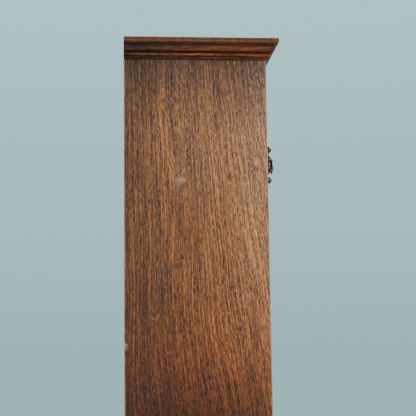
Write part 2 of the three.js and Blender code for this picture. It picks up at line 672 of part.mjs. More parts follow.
// The pendulum hangs from the bend of its suspension spring. Its own group has that bend as its origin.
function buildPendulum() {
  const pendulum = new THREE.Group();
  pendulum.position.set(0, pendulumPlane, pivotRise);
  movement.add(pendulum);
  const springTop = cockUnderside - pivotRise - 0.5;
  const nutTop = -pendulumLength - bobRadius - 3;
  const nutBottom = nutTop - nutHeight;
  const spring = box(-4, 4, -0.6, 0.6, -22, springTop);
  const chops = box(-5, 5, -3, 3, -24, -12);
  const rod = uprightBar(rodRadius, nutBottom - 12, -20);
  piece(pendulum, "pendulum_rod", join(rod, chops, spring), steel);
  const half = bobThickness / 2;
  const lens = [[0, -half], [bobRadius * 0.4, -half * 0.88], [bobRadius * 0.75, -half * 0.5], [bobRadius, -1.5],
    [bobRadius, 1.5], [bobRadius * 0.75, half * 0.5], [bobRadius * 0.4, half * 0.88], [0, half]];
  const bob = new THREE.LatheGeometry(lens.map(([radius, y]) => new THREE.Vector2(radius, y)), 32);
  const bore = uprightBar(rodRadius + rodClearance, -bobRadius - 1, bobRadius + 1);
  piece(pendulum, "pendulum_bob", cut(bob, bore), brass).position.z = -pendulumLength;
  const nutBore = uprightBar(rodRadius + rodClearance, nutBottom - 1, nutTop + 1);
  piece(pendulum, "rating_nut", cut(uprightBar(nutRadius, nutBottom, nutTop, 0, 0, 16), nutBore), brass);
}

// A weight at the foot of its travel, and the line that it hangs on.
function buildWeight(name, x) {
  const seatUnder = -seatDrop - boardThickness;
  const hookTop = seatUnder - shortestLine - weightTravel;
  const hookHeight = 18;
  const profile = [[0, 0], [weightRadius - 2, 0], [weightRadius, 2], [weightRadius, weightHeight - 3],
    [weightRadius - 3, weightHeight], [6, weightHeight], [4, weightHeight + 4], [2.5, weightHeight + hookHeight],
    [0, weightHeight + hookHeight]];
  const y = barrelMiddleY();
  piece(movement, `${name}_weight`, turned(profile, 24), brass).position.set(x, y, hookTop - weightHeight - hookHeight);
  piece(movement, `${name}_line`, uprightBar(lineRadius, hookTop + seam, -barrelDrop, x, y, 8), steel);
}

// The strike: a great wheel beside its barrel, a hammer that reaches to the back of the case, and the gong.
function buildStrike() {
  const wheelY = frontPlateY + plateThickness + 8;
  const wheel = toothedDisc(84, strikeWheelRadius, 1.2, windingArborRadius + pivotClearance, 5);
  piece(movement, "strike_great_wheel", plate(wheel, wheelY, wheelY + wheelThickness), brass)
    .position.set(-barrelSpread, 0, -barrelDrop);
  const gongY = yBackBoard - gongSetback - dialY;
  const head = crossBar(hammerHeadRadius, -hammerHeadLength / 2, hammerHeadLength / 2, gongY, -hammerReach, 14);
  const arm = box(-2, 2, gongY - 2, gongY + 2, -hammerReach, 2);
  const hammer = join(arbor(arborRadius, frontPlateY + seam, gongY + 2), arm, head);
  piece(movement, "hammer", hammer, steel).position.set(hammerArborX, 0, hammerArborRise);
  const gongX = hammerArborX - hammerHeadLength / 2 - gongGap - gongRodRadius;
  const rodTop = hammerArborRise - hammerReach + hammerHeadRadius + 12;
  const half = gongBlock / 2;
  piece(movement, "gong_block", box(gongX - half, gongX + half, gongY - half + 5, yBackBoard - seam - dialY,
    rodTop + seam, rodTop + gongBlock), steel);
  piece(movement, "gong_rod", uprightBar(gongRodRadius, rodTop - gongRodLength, rodTop, gongX, gongY), brass);
}

buildCase();
buildMouldings("cornice", corniceProfile(), underTop - seam - corniceHeight);
buildMouldings("plinth", plinthProfile(), 0);
buildSeat();
const dialHalf = dialOpening / 2;
buildDoor("dial_door", dialDoorBottom, dialDoorTop, dialHalf, dialZ - dialHalf, dialZ + dialHalf);
buildDoor("trunk_door", trunkDoorBottom, trunkDoorTop, innerHalf - trunkStile,
  trunkDoorBottom + trunkRail, trunkDoorTop - trunkRail);
buildDial();
buildHands();
buildPlates();
buildGoingTrain();
buildBarrel("going_barrel", barrelSpread);
buildBarrel("strike_barrel", -barrelSpread);
buildAnchor();
buildBackCock();
buildPendulum();
buildWeight("going", goingLineX);
buildWeight("strike", strikeLineX);
buildStrike();

export default clock;
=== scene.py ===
import json
import math
import random
import bmesh
import bpy
from mathutils import Matrix, Vector


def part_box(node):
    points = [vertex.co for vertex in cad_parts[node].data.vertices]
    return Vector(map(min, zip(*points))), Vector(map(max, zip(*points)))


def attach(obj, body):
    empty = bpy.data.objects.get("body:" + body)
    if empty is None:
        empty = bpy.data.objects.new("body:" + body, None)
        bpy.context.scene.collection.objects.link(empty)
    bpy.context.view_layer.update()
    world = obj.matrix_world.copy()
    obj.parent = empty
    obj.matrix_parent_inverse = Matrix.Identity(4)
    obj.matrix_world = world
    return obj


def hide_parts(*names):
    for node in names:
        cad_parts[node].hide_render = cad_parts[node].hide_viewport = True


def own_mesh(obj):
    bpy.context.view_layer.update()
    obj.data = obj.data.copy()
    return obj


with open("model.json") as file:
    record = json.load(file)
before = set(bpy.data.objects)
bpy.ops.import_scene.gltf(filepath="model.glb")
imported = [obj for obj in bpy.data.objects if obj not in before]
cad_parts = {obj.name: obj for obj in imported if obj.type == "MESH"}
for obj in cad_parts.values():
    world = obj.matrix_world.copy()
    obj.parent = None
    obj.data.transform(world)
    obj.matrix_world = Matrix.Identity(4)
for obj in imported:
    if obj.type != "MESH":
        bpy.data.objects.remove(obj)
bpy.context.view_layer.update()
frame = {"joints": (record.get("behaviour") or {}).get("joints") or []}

mm = 0.001
scene = bpy.context.scene


# Small builders shared by every piece.
def put(tree, kind, inputs=None, **props):
    node = tree.nodes.new(kind)
    for key, value in props.items():
        setattr(node, key, value)
    for key, value in (inputs or {}).items():
        socket = node.inputs[key]
        if isinstance(value, bpy.types.NodeSocket):
            tree.links.new(value, socket)
        else:
            socket.default_value = value
    return node


# The first output of a new node.
def feed(tree, kind, inputs=None, **props):
    return put(tree, kind, inputs, **props).outputs[0]


def maths(tree, operation, *values):
    return feed(tree, "ShaderNodeMath", dict(enumerate(values)), operation=operation)


def times(tree, first, second):
    return maths(tree, "MULTIPLY", first, second)


def plus(tree, first, second):
    return maths(tree, "ADD", first, second)


def minus(tree, first, second):
    return maths(tree, "SUBTRACT", first, second)


def newGroup(name, kind, inputs, outputs):
    tree = bpy.data.node_groups.new(name, kind)
    for label, socketType, value in inputs:
        socket = tree.interface.new_socket(name=label, in_out="INPUT", socket_type="NodeSocket" + socketType)
        if value is not None:
            socket.default_value = value
    for label, socketType in outputs:
        tree.interface.new_socket(name=label, in_out="OUTPUT", socket_type="NodeSocket" + socketType)
    return tree, tree.nodes.new("NodeGroupInput").outputs, tree.nodes.new("NodeGroupOutput").inputs


def ramp(tree, factor, stops):
    node = put(tree, "ShaderNodeValToRGB", {"Fac": factor})
    band = node.color_ramp
    while len(band.elements) < len(stops):
        band.elements.new(0.5)
    for element, (place, colour) in zip(band.elements, stops):
        element.position = place
        element.color = (*colour, 1.0)
    return node.outputs["Color"]


def mixColour(tree, factor, first, second, blend="MIX"):
    node = put(tree, "ShaderNodeMix", data_type="RGBA", blend_type=blend)
    for socket, value in ((node.inputs[0], factor), (node.inputs[6], first), (node.inputs[7], second)):
        if isinstance(value, bpy.types.NodeSocket):
            tree.links.new(value, socket)
        else:
            socket.default_value = value if isinstance(value, (int, float)) else (*value[:3], 1.0)
    return node.outputs[2]


def remap(tree, value, low, high, toLow=0.0, toHigh=1.0):
    return feed(tree, "ShaderNodeMapRange", {0: value, 1: low, 2: high, 3: toLow, 4: toHigh})


def vectorMaths(tree, operation, first, second):
    return put(tree, "ShaderNodeVectorMath", {0: first, 1: second}, operation=operation).outputs


def parts(tree, vector):
    return put(tree, "ShaderNodeSeparateXYZ", {0: vector}).outputs


def objectPlace(tree):
    return put(tree, "ShaderNodeTexCoord").outputs["Object"]


def noise(tree, vector, scale, detail=2.0, roughness=0.55):
    scaled = vectorMaths(tree, "MULTIPLY", vector, scale)[0]
    return feed(tree, "ShaderNodeTexNoise", {"Vector": scaled, "Scale": 1.0, "Detail": detail,
                                             "Roughness": roughness})


print("finishes")


# Oak: open-pored, streaked along the grain, with wax in the pores.
def buildOakGroup():
    tree, given, result = newGroup("oakGrain", "ShaderNodeTree", [
        ("Vector", "Vector", None), ("Slant", "Float", 0.03), ("Heart", "Float", 0.0),
        ("Dark", "Color", (0.05, 0.02, 0.01, 1)), ("Middle", "Color", (0.15, 0.07, 0.03, 1)),
        ("Warm", "Color", (0.3, 0.12, 0.04, 1)), ("Wax", "Color", (0.2, 0.16, 0.12, 1)),
        ("WaxAmount", "Float", 0.4), ("Seed", "Float", 0.0)], [("Colour", "Color"), ("Roughness", "Float"),
        ("Height", "Float")])
    axes = parts(tree, given["Vector"])
    # lines of growth lean away from the heart side of the board, more and more towards its far edge
    fan = maths(tree, "DIVIDE", minus(tree, given["Heart"], axes[1]), 0.2)
    bend = maths(tree, "SINE", maths(tree, "DIVIDE", minus(tree, axes[2], 1.6), 0.6))
    lean = times(tree, times(tree, given["Slant"], fan), times(tree, bend, 0.6))
    wander = noise(tree, given["Vector"], (4.0, 7.0, 2.6), 2.0)
    shift = times(tree, minus(tree, wander, 0.5), 0.035)
    across = plus(tree, plus(tree, axes[1], lean), shift)
    seeded = plus(tree, axes[0], given["Seed"])
    grain = feed(tree, "ShaderNodeCombineXYZ", {0: seeded, 1: across, 2: axes[2]})
    streak = noise(tree, grain, (560.0, 600.0, 13.0), 3.0, 0.65)
    ring = noise(tree, grain, (380.0, 420.0, 2.6), 3.0, 0.6)
    cloud = noise(tree, grain, (5.0, 6.5, 2.4), 4.0, 0.6)
    pore = remap(tree, noise(tree, grain, (700.0, 720.0, 70.0), 2.0, 0.55), 0.47, 0.56)
    fleck = remap(tree, noise(tree, grain, (800.0, 820.0, 150.0), 2.0, 0.55), 0.55, 0.66)
    base = mixColour(tree, remap(tree, streak, 0.38, 0.58), given["Dark"], given["Middle"])
    warmth = times(tree, remap(tree, ring, 0.46, 0.66), remap(tree, streak, 0.36, 0.54))
    warmed = mixColour(tree, warmth, base, given["Warm"])
    pored = mixColour(tree, times(tree, pore, 0.85), warmed, (0.26, 0.24, 0.26), "MULTIPLY")
    waxMask = times(tree, times(tree, fleck, given["WaxAmount"]),
                    remap(tree, cloud, 0.3, 0.6, 0.45, 1.0))
    waxed = mixColour(tree, waxMask, pored, given["Wax"])
    shade = remap(tree, cloud, 0.25, 0.75, 0.78, 1.22)
    shadeColour = feed(tree, "ShaderNodeCombineColor", {0: shade, 1: shade, 2: shade})
    tree.links.new(mixColour(tree, 1.0, waxed, shadeColour, "MULTIPLY"), result["Colour"])
    tree.links.new(remap(tree, plus(tree, streak, pore), 0.3, 1.5, 0.4, 0.66), result["Roughness"])
    height = minus(tree, times(tree, streak, 0.5), pore)
    tree.links.new(height, result["Height"])
    return tree


# How close a point on a board is to one of its edges, broken up so that the wear is uneven.
def buildEdgeGroup():
    tree, given, result = newGroup("edgeWear", "ShaderNodeTree", [
        ("Vector", "Vector", None), ("Low", "Vector", None), ("High", "Vector", None),
        ("Width", "Float", 0.003)], [("Mask", "Float")])
    fromLow = vectorMaths(tree, "SUBTRACT", given["Vector"], given["Low"])[0]
    toHigh = vectorMaths(tree, "SUBTRACT", given["High"], given["Vector"])[0]
    axes = parts(tree, vectorMaths(tree, "MINIMUM", fromLow, toHigh)[0])
    lower = maths(tree, "MINIMUM", axes[0], axes[1])
    upper = maths(tree, "MAXIMUM", axes[0], axes[1])
    second = maths(tree, "MAXIMUM", lower, maths(tree, "MINIMUM", upper, axes[2]))
    patch = noise(tree, given["Vector"], (90.0, 90.0, 24.0), 3.0, 0.6)
    reach = times(tree, given["Width"], remap(tree, patch, 0.3, 0.7, 0.45, 1.25))
    share = maths(tree, "DIVIDE", second, reach)
    tree.links.new(remap(tree, share, 0.35, 1.0, 1.0, 0.0), result["Mask"])
    return tree


oakGrain = buildOakGroup()
edgeWear = buildEdgeGroup()
oakTones = {
    "case": {"Dark": (0.08, 0.028, 0.012), "Middle": (0.335, 0.118, 0.032), "Warm": (0.7, 0.25, 0.042),
             "Wax": (0.45, 0.37, 0.31)},
    "moulding": {"Dark": (0.06, 0.017, 0.006), "Middle": (0.19, 0.052, 0.013), "Warm": (0.4, 0.11, 0.02),
                 "Wax": (0.18, 0.12, 0.09)},
    "front": {"Dark": (0.048, 0.015, 0.004), "Middle": (0.225, 0.072, 0.012), "Warm": (0.46, 0.155, 0.017),
              "Wax": (0.4, 0.31, 0.23)},
    "inside": {"Dark": (0.1, 0.06, 0.032), "Middle": (0.27, 0.17, 0.09), "Warm": (0.38, 0.24, 0.12),
               "Wax": (0.32, 0.25, 0.18)},
}
# How each way of the grain, and the face it is seen on, turns the pattern.
turnForGrain = {"z": (0, 0, 0), "zFront": (0, 0, math.pi / 2), "x": (0, math.pi / 2, 0),
                "y": (math.pi / 2, 0, 0),
                "xFront": tuple(Matrix(((0, 1, 0), (0, 0, 1), (1, 0, 0))).to_euler())}


def newMaterial(name, **plain):
    material = bpy.data.materials.new(name)
    material.use_nodes = True
    shader = material.node_tree.nodes["Principled BSDF"]
    for key, value in plain.items():
        shader.inputs[key.replace("_", " ")].default_value = value
    return material, material.node_tree, shader


def bumpInto(tree, shader, height, strength, distance):
    bump = put(tree, "ShaderNodeBump", {"Height": height, "Strength": strength, "Distance": distance})
    tree.links.new(bump.outputs[0], shader.inputs["Normal"])


# The face of one oak member: grain runs along one axis, and its arrises are rubbed pale.
def oakFinish(name, low, high, grain="z", tone="case", slant=0.02, wax=0.45, seed=0.0, wear=0.0022,
              wornColour=(0.42, 0.27, 0.16), paintedLight=None, heart=0.0):
    polish = {"Specular_IOR_Level": 0.2}
    if tone != "inside":
        polish = {"Coat_Weight": 0.05, "Coat_Roughness": 0.35, "Specular_IOR_Level": 0.28}
    material, tree, shader = newMaterial(name, **polish)
    place = objectPlace(tree)
    turned = feed(tree, "ShaderNodeMapping", {"Vector": place, "Rotation": turnForGrain[grain]})
    tones = {key: (*colour, 1.0) for key, colour in oakTones[tone].items()}
    wood = put(tree, "ShaderNodeGroup", {"Vector": turned, "Slant": slant, "Heart": heart, "WaxAmount": wax,
                                         "Seed": seed, **tones}, node_tree=oakGrain).outputs
    edge = put(tree, "ShaderNodeGroup", {"Vector": place, "Low": low, "High": high, "Width": wear},
               node_tree=edgeWear).outputs["Mask"]
    # paintedLight, where given, paints light and shade into the wood's colour
    colour = paintedLight(tree, place, wood["Colour"]) if paintedLight else wood["Colour"]
    rubbed = times(tree, edge, 0.6)
    tree.links.new(mixColour(tree, rubbed, colour, wornColour), shader.inputs["Base Color"])
    tree.links.new(wood["Roughness"], shader.inputs["Roughness"])
    bumpInto(tree, shader, wood["Height"], 0.55, 0.0006)
    return material


# Metals: a clean colour dulled in patches.
def buildTarnishGroup():
    tree, given, result = newGroup("tarnish", "ShaderNodeTree", [
        ("Vector", "Vector", None), ("Clean", "Color", (0.8, 0.6, 0.3, 1)),
        ("Dull", "Color", (0.2, 0.12, 0.05, 1)), ("Amount", "Float", 0.4), ("Scale", "Float", 60.0),
        ("Gloss", "Float", 0.25)], [("Colour", "Color"), ("Roughness", "Float"), ("Height", "Float")])
    scaled = put(tree, "ShaderNodeVectorMath", {0: given["Vector"], "Scale": given["Scale"]},
                 operation="SCALE")
    patch = noise(tree, scaled.outputs[0], (1.0, 1.0, 1.0), 4.0, 0.62)
    speck = noise(tree, scaled.outputs[0], (9.0, 9.0, 9.0), 2.0, 0.6)
    cover = times(tree, remap(tree, patch, 0.35, 0.7), given["Amount"])
    spotted = times(tree, remap(tree, speck, 0.56, 0.75), given["Amount"])
    mask = maths(tree, "MAXIMUM", cover, spotted)
    tree.links.new(mixColour(tree, mask, given["Clean"], given["Dull"]), result["Colour"])
    rough = plus(tree, given["Gloss"], times(tree, mask, 0.3))
    tree.links.new(rough, result["Roughness"])
    tree.links.new(plus(tree, patch, times(tree, speck, 0.3)), result["Height"])
    return tree


tarnish = buildTarnishGroup()


def metalFinish(name, clean, dull, amount, scale, gloss, bump=0.15, metallic=1.0):
    material, tree, shader = newMaterial(name, Metallic=metallic)
    metal = put(tree, "ShaderNodeGroup", {
        "Vector": objectPlace(tree), "Clean": (*clean, 1), "Dull": (*dull, 1), "Amount": amount,
        "Scale": scale, "Gloss": gloss}, node_tree=tarnish).outputs
    tree.links.new(metal["Colour"], shader.inputs["Base Color"])
    tree.links.new(metal["Roughness"], shader.inputs["Roughness"])
    bumpInto(tree, shader, metal["Height"], bump, 0.0004)
    return material


bronze = metalFinish("agedBronze", (0.125, 0.084, 0.046), (0.016, 0.012, 0.009), 0.8, 260.0, 0.24, 0.3, 0.95)
brass = metalFinish("lacqueredBrass", (0.72, 0.5, 0.2), (0.34, 0.19, 0.07), 0.45, 42.0, 0.22)
dialBrass = metalFinish("mattedBrass", (0.58, 0.41, 0.17), (0.3, 0.18, 0.07), 0.5, 300.0, 0.42, 0.5)
steel = metalFinish("polishedSteel", (0.55, 0.55, 0.56), (0.24, 0.21, 0.19), 0.4, 70.0, 0.28)
blued = metalFinish("bluedSteel", (0.02, 0.028, 0.06), (0.01, 0.01, 0.014), 0.5, 90.0, 0.2)
silvered = metalFinish("silveredRing", (0.74, 0.72, 0.66), (0.52, 0.46, 0.34), 0.4, 30.0, 0.4, 0.2, 0.7)
blackWax = metalFinish("engravingWax", (0.012, 0.011, 0.01), (0.03, 0.025, 0.02), 0.3, 400.0, 0.45, 0.1, 0.0)


def glassFinish():
    material, tree, shader = newMaterial("windowGlass", Roughness=0.03, IOR=1.5, Alpha=0.07)
    place = objectPlace(tree)
    tint = mixColour(tree, noise(tree, place, (6.0, 6.0, 6.0), 2.0), (0.1, 0.13, 0.12), (0.16, 0.19, 0.18))
    tree.links.new(tint, shader.inputs["Base Color"])
    bumpInto(tree, shader, noise(tree, place, (9.0, 9.0, 5.0), 1.0), 0.08, 0.001)
    return material


windowGlass = glassFinish()


def fixNormals(bm):
    bmesh.ops.remove_doubles(bm, verts=bm.verts, dist=1e-6)
    bmesh.ops.recalc_face_normals(bm, faces=bm.faces)


# Every finished mesh is in metres, at its real place.
def addPiece(name, bm, materials, body, nodes, smooth=30.0):
    fixNormals(bm)
    mesh = bpy.data.meshes.new(name)
    bm.to_mesh(mesh)
    bm.free()
    for material in materials:
        mesh.materials.append(material)
    mesh.shade_smooth()
    mesh.set_sharp_from_angle(angle=math.radians(smooth))
    piece = bpy.data.objects.new(name, mesh)
    scene.collection.objects.link(piece)
    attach(piece, body)
    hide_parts(*nodes)
    return piece


def boxOf(node):
    return [Vector(corner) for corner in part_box(node)]


# Points given in millimetres, the second number counted from a level in metres.
def inMm(points, level=0.0):
    return [(a * mm, level + b * mm) for a, b in points]


def addBlock(bm, low, high, bevel=0.0, segments=2, material=0):
    made = bmesh.ops.create_cube(bm, size=1.0)["verts"]
    size = Vector(high) - Vector(low)
    for vert in made:
        vert.co = Vector(low) + Vector((size[i] * (vert.co[i] + 0.5) for i in range(3)))
    faces = {face for vert in made for face in vert.link_faces}
    for face in faces:
        face.material_index = material
    if bevel:
        edges = list({edge for face in faces for edge in face.edges})
        bmesh.ops.bevel(bm, geom=edges, offset=bevel, segments=segments, affect="EDGES", profile=0.6)


# A solid of revolution from (radius, height) points, along an axis through a centre.
def addTurned(bm, profile, centre, axis="z", segments=32, material=0, squash=(1.0, 1.0)):
    rings = []
    for radius, height in profile:
        ring = []
        count = segments if radius > 1e-7 else 1
        for i in range(count):
            angle = 2 * math.pi * i / segments
            flat = (radius * math.cos(angle) * squash[0], radius * math.sin(angle) * squash[1])
            place = {"z": (flat[0], flat[1], height), "y": (flat[1], height, flat[0]),
                     "x": (height, flat[0], flat[1])}[axis]
            ring.append(bm.verts.new(Vector(centre) + Vector(place)))
        rings.append(ring)
    for lower, upper in zip(rings, rings[1:]):
        for i in range(segments):
            j = (i + 1) % segments
            corners = [lower[i % len(lower)], lower[j % len(lower)], upper[j % len(upper)],
                       upper[i % len(upper)]]
            corners = list(dict.fromkeys(corners))
            if len(corners) > 2:
                bm.faces.new(corners).material_index = material


# Faces between each ring of points and the next, and over both ends.
def joinRings(bm, rings, material=0):
    for first, second in zip(rings, rings[1:]):
        for i in range(len(first)):
            j = (i + 1) % len(first)
            bm.faces.new([first[i], first[j], second[j], second[i]]).material_index = material
    for end in (rings[0][::-1], rings[-1]):
        bm.faces.new(end).material_index = material


# A moulding between two points: the profile runs outward and up, and its ends can be mitred.
def addMoulding(bm, profile, start, end, outward, up, mitres=(0, 0), steps=1, material=0, sway=None):
    start, end, outward, up = Vector(start), Vector(end), Vector(outward), Vector(up)
    along = (end - start).normalized()
    length = (end - start).length
    rings = []
    for step in range(steps + 1):
        share = step / steps
        ring = []
        for out, rise in profile:
            shift = (1 - share) * -mitres[0] * out + share * mitres[1] * out
            place = start + along * (length * share + shift)
            nudge = sway(place, out, rise) if sway else 0.0
            ring.append(bm.verts.new(place + outward * (out + nudge) + up * rise))
        rings.append(ring)
    joinRings(bm, rings, material)


# A flat outline in X and Z, given thickness along Y, with its front edge softened.
def addFlat(bm, outline, front, back, material=0, soften=0.0):
    layers = [(back, 0.0), (front, soften)]
    if soften:
        layers.insert(1, (front + soften, 0.0))
    rings = []
    for depth, inset in layers:
        ring = []
        for i, (x, z) in enumerate(outline):
            before, after = outline[i - 1], outline[(i + 1) % len(outline)]
            tangent = Vector((after[0] - before[0], after[1] - before[1]))
            normal = Vector((-tangent[1], tangent[0])).normalized()
            ring.append(bm.verts.new((x + normal[0] * inset, depth, z + normal[1] * inset)))
        rings.append(ring)
    joinRings(bm, rings, material)


def arc(centre, radius, first, last, count):
    points = []
    for i in range(count):
        angle = math.radians(first + (last - first) * i / (count - 1))
        points.append((centre[0] + radius * math.cos(angle), centre[1] + radius * math.sin(angle)))
    return points


def curveThrough(first, control, last, count):
    points = []
    for i in range(1, count + 1):
        t = i / count
        points.append(tuple((1 - t) ** 2 * a + 2 * t * (1 - t) * b + t * t * c
                            for a, b, c in zip(first, control, last)))
    return points


# A round rod that follows any path, with its own radius at each point.
def addTube(bm, path, radii, sides=10, material=0, first=(1, 0, 0)):
    rings = []
    first = Vector(first)
    for i, point in enumerate(path):
        tangent = (path[min(i + 1, len(path) - 1)] - path[max(i - 1, 0)]).normalized()
        first = (first - tangent * first.dot(tangent)).normalized()
        second = tangent.cross(first)
        rings.append([bm.verts.new(point + (first * math.cos(a) + second * math.sin(a)) * radii[i])
                      for a in (2 * math.pi * k / sides for k in range(sides))])
    joinRings(bm, rings, material)


# The end of each tree: its copies are made real, given their finish and sent out.
def sendOut(tree, given, result, copies):
    real = feed(tree, "GeometryNodeRealizeInstances", {"Geometry": copies.outputs[0]})
    finish = feed(tree, "GeometryNodeSetMaterial", {"Geometry": real, "Material": given["Finish"]})
    tree.links.new(finish, result["Geometry"])
    return tree


# Copies of one shape turned about a centre: teeth, leaves, minute marks, knurls.
def buildRingTree():
    tree, given, result = newGroup("ringOfCopies", "GeometryNodeTree", [
        ("Geometry", "Geometry", None), ("Count", "Int", 12), ("Centre", "Vector", (0, 0, 0)),
        ("Axis", "Vector", (0, 1, 0)), ("First Angle", "Float", 0.0), ("Finish", "Material", None)],
        [("Geometry", "Geometry")])
    back = vectorMaths(tree, "SUBTRACT", (0, 0, 0), given["Centre"])[0]
    copy = feed(tree, "GeometryNodeTransform", {"Geometry": given["Geometry"], "Translation": back})
    points = feed(tree, "GeometryNodePoints", {"Count": given["Count"], "Position": given["Centre"]})
    share = maths(tree, "DIVIDE", tree.nodes.new("GeometryNodeInputIndex").outputs[0], given["Count"])
    angle = plus(tree, times(tree, share, 2 * math.pi), given["First Angle"])
    turn = feed(tree, "FunctionNodeAxisAngleToRotation", {"Axis": given["Axis"], "Angle": angle})
    copies = put(tree, "GeometryNodeInstanceOnPoints", {"Points": points, "Instance": copy, "Rotation": turn})
    return sendOut(tree, given, result, copies)


# A copy of another object on each point, set upright on an axis and spun by chance: screws and nails.
def buildPointTree():
    tree, given, result = newGroup("copiesOnPoints", "GeometryNodeTree", [
        ("Geometry", "Geometry", None), ("Copy", "Object", None), ("Axis", "Vector", (0, 0, 1)),
        ("Size", "Float", 1.0), ("Seed", "Int", 4), ("Finish", "Material", None)], [("Geometry", "Geometry")])
    copy = put(tree, "GeometryNodeObjectInfo", {"Object": given["Copy"]}).outputs["Geometry"]
    spin = put(tree, "FunctionNodeRandomValue", {"Seed": given["Seed"]}, data_type="FLOAT")
    spin.inputs[3].default_value = math.pi
    upright = feed(tree, "FunctionNodeAlignRotationToVector", {"Vector": given["Axis"]}, axis="Z")
    turn = feed(tree, "FunctionNodeAxisAngleToRotation", {"Axis": (0, 0, 1), "Angle": spin.outputs[1]})
    both = feed(tree, "FunctionNodeRotateRotation", {0: upright, 1: turn}, rotation_space="LOCAL")
    points = feed(tree, "GeometryNodeMeshToPoints", {"Mesh": given["Geometry"]})
    copies = put(tree, "GeometryNodeInstanceOnPoints", {"Points": points, "Instance": copy, "Rotation": both,
                                                        "Scale": given["Size"]})
    return sendOut(tree, given, result, copies)


# Strands laid round an upright line, as in a twisted cord.
def buildStrandTree():
    tree, given, result = newGroup("twistedStrands", "GeometryNodeTree", [
        ("Geometry", "Geometry", None), ("Strands", "Int", 2), ("Pitch", "Float", 0.006),
        ("Strand Radius", "Float", 0.0004), ("Lay Radius", "Float", 0.0003), ("Length", "Float", 1.0),
        ("Start", "Vector", (0, 0, 0)), ("Finish", "Material", None)], [("Geometry", "Geometry")])
    turns = maths(tree, "DIVIDE", given["Length"], given["Pitch"])
    lay = given["Lay Radius"]
    spiral = feed(tree, "GeometryNodeCurveSpiral", {
        "Resolution": 7, "Rotations": turns, "Start Radius": lay, "End Radius": lay,
        "Height": given["Length"]})
    section = feed(tree, "GeometryNodeCurvePrimitiveCircle", {
        "Resolution": 5, "Radius": given["Strand Radius"]})
    tube = feed(tree, "GeometryNodeCurveToMesh", {
        "Curve": spiral, "Profile Curve": section, "Fill Caps": True})
    points = feed(tree, "GeometryNodePoints", {"Count": given["Strands"], "Position": given["Start"]})
    share = maths(tree, "DIVIDE", tree.nodes.new("GeometryNodeInputIndex").outputs[0], given["Strands"])
    angle = times(tree, share, 2 * math.pi)
    turn = feed(tree, "FunctionNodeAxisAngleToRotation", {"Axis": (0, 0, 1), "Angle": angle})
    copies = put(tree, "GeometryNodeInstanceOnPoints", {"Points": points, "Instance": tube, "Rotation": turn})
    return sendOut(tree, given, result, copies)


ringTree = buildRingTree()
pointTree = buildPointTree()
strandTree = buildStrandTree()


# Runs a tree on a small source mesh and adds what it makes to a piece.
def addFromTree(bm, source, tree, values, material=0):
    seedMesh = bpy.data.meshes.new("treeSource")
    source.to_mesh(seedMesh)
    source.free()
    holder = bpy.data.objects.new("treeHolder", seedMesh)
    scene.collection.objects.link(holder)
    modifier = holder.modifiers.new("tree", "NODES")
    modifier.node_group = tree
    for item in tree.interface.items_tree:
        if item.item_type == "SOCKET" and item.in_out == "INPUT" and item.name in values:
            modifier[item.identifier] = values[item.name]
    bpy.context.view_layer.update()
    made = bpy.data.meshes.new_from_object(holder.evaluated_get(bpy.context.evaluated_depsgraph_get()))
    holder.modifiers.remove(modifier)
    known = set(bm.faces)
    bm.from_mesh(made)
    for face in bm.faces:
        if face not in known:
            face.material_index = material
    bpy.data.objects.remove(holder)
    bpy.data.meshes.remove(made)
    bpy.data.meshes.remove(seedMesh)


# A flat plate in X and Z with holes through it: the first loop is its outline.
def addPierced(bm, loops, front, back, material=0):
    flat = bmesh.new()
    for loop in loops:
        verts = [flat.verts.new((x, 0.0, z)) for x, z in loop]
        for first, second in zip(verts, verts[1:] + verts[:1]):
            flat.edges.new((first, second))
    bmesh.ops.triangle_fill(flat, use_beauty=True, use_dissolve=False, edges=flat.edges[:])
    flat.verts.index_update()
    sheets = [[bm.verts.new((vert.co.x, depth, vert.co.z)) for vert in flat.verts] for depth in (front, back)]
    for face in flat.faces:
        for sheet in sheets:
            bm.faces.new([sheet[vert.index] for vert in face.verts]).material_index = material
    for edge in flat.edges:
        if len(edge.link_faces) == 1:
            a, b = (vert.index for vert in edge.verts)
            bm.faces.new([sheets[0][a], sheets[0][b], sheets[1][b], sheets[1][a]]).material_index = material
    flat.free()


def roundedLoop(x0, x1, z0, z1, radius, count):
    points = []
    for x, z, start in ((x1, z1, 0), (x0, z1, 90), (x0, z0, 180), (x1, z0, 270)):
        centre = (x - radius if x == x1 else x + radius, z - radius if z == z1 else z + radius)
        points += arc(centre, radius, start, start + 90, count)
    return points


def circleLoop(x, z, radius, count=32, turn=0.0):
    return [(x + radius * math.cos(turn + 2 * math.pi * i / count),
             z + radius * math.sin(turn + 2 * math.pi * i / count)) for i in range(count)]


# A half-round rib that follows a path on a face: scrolls and leaf veins. Y is its height off the face.
def addScroll(bm, path, radii, face, height, material=0):
    rings = []
    for i, (x, z) in enumerate(path):
        before, after = path[max(i - 1, 0)], path[min(i + 1, len(path) - 1)]
        tangent = Vector((after[0] - before[0], after[1] - before[1])).normalized()
        across = Vector((-tangent[1], tangent[0]))
        ring = []
        for step in range(7):
            angle = math.pi * step / 6
            out = math.cos(angle) * radii[i]
            swell = math.sin(angle) * height * radii[i] / max(radii)
            ring.append(bm.verts.new((x + across[0] * out, face - swell, z + across[1] * out)))
        rings.append(ring)
    joinRings(bm, rings, material)


def spiralPath(centre, radius, first, turns, count, mirror=1):
    points = []
    for i in range(count):
        share = i / (count - 1)
        angle = math.radians(first) + mirror * turns * 2 * math.pi * share
        reach = radius * (1 - 0.82 * share)
        points.append((centre[0] + reach * math.cos(angle), centre[1] + reach * math.sin(angle)))
    return points


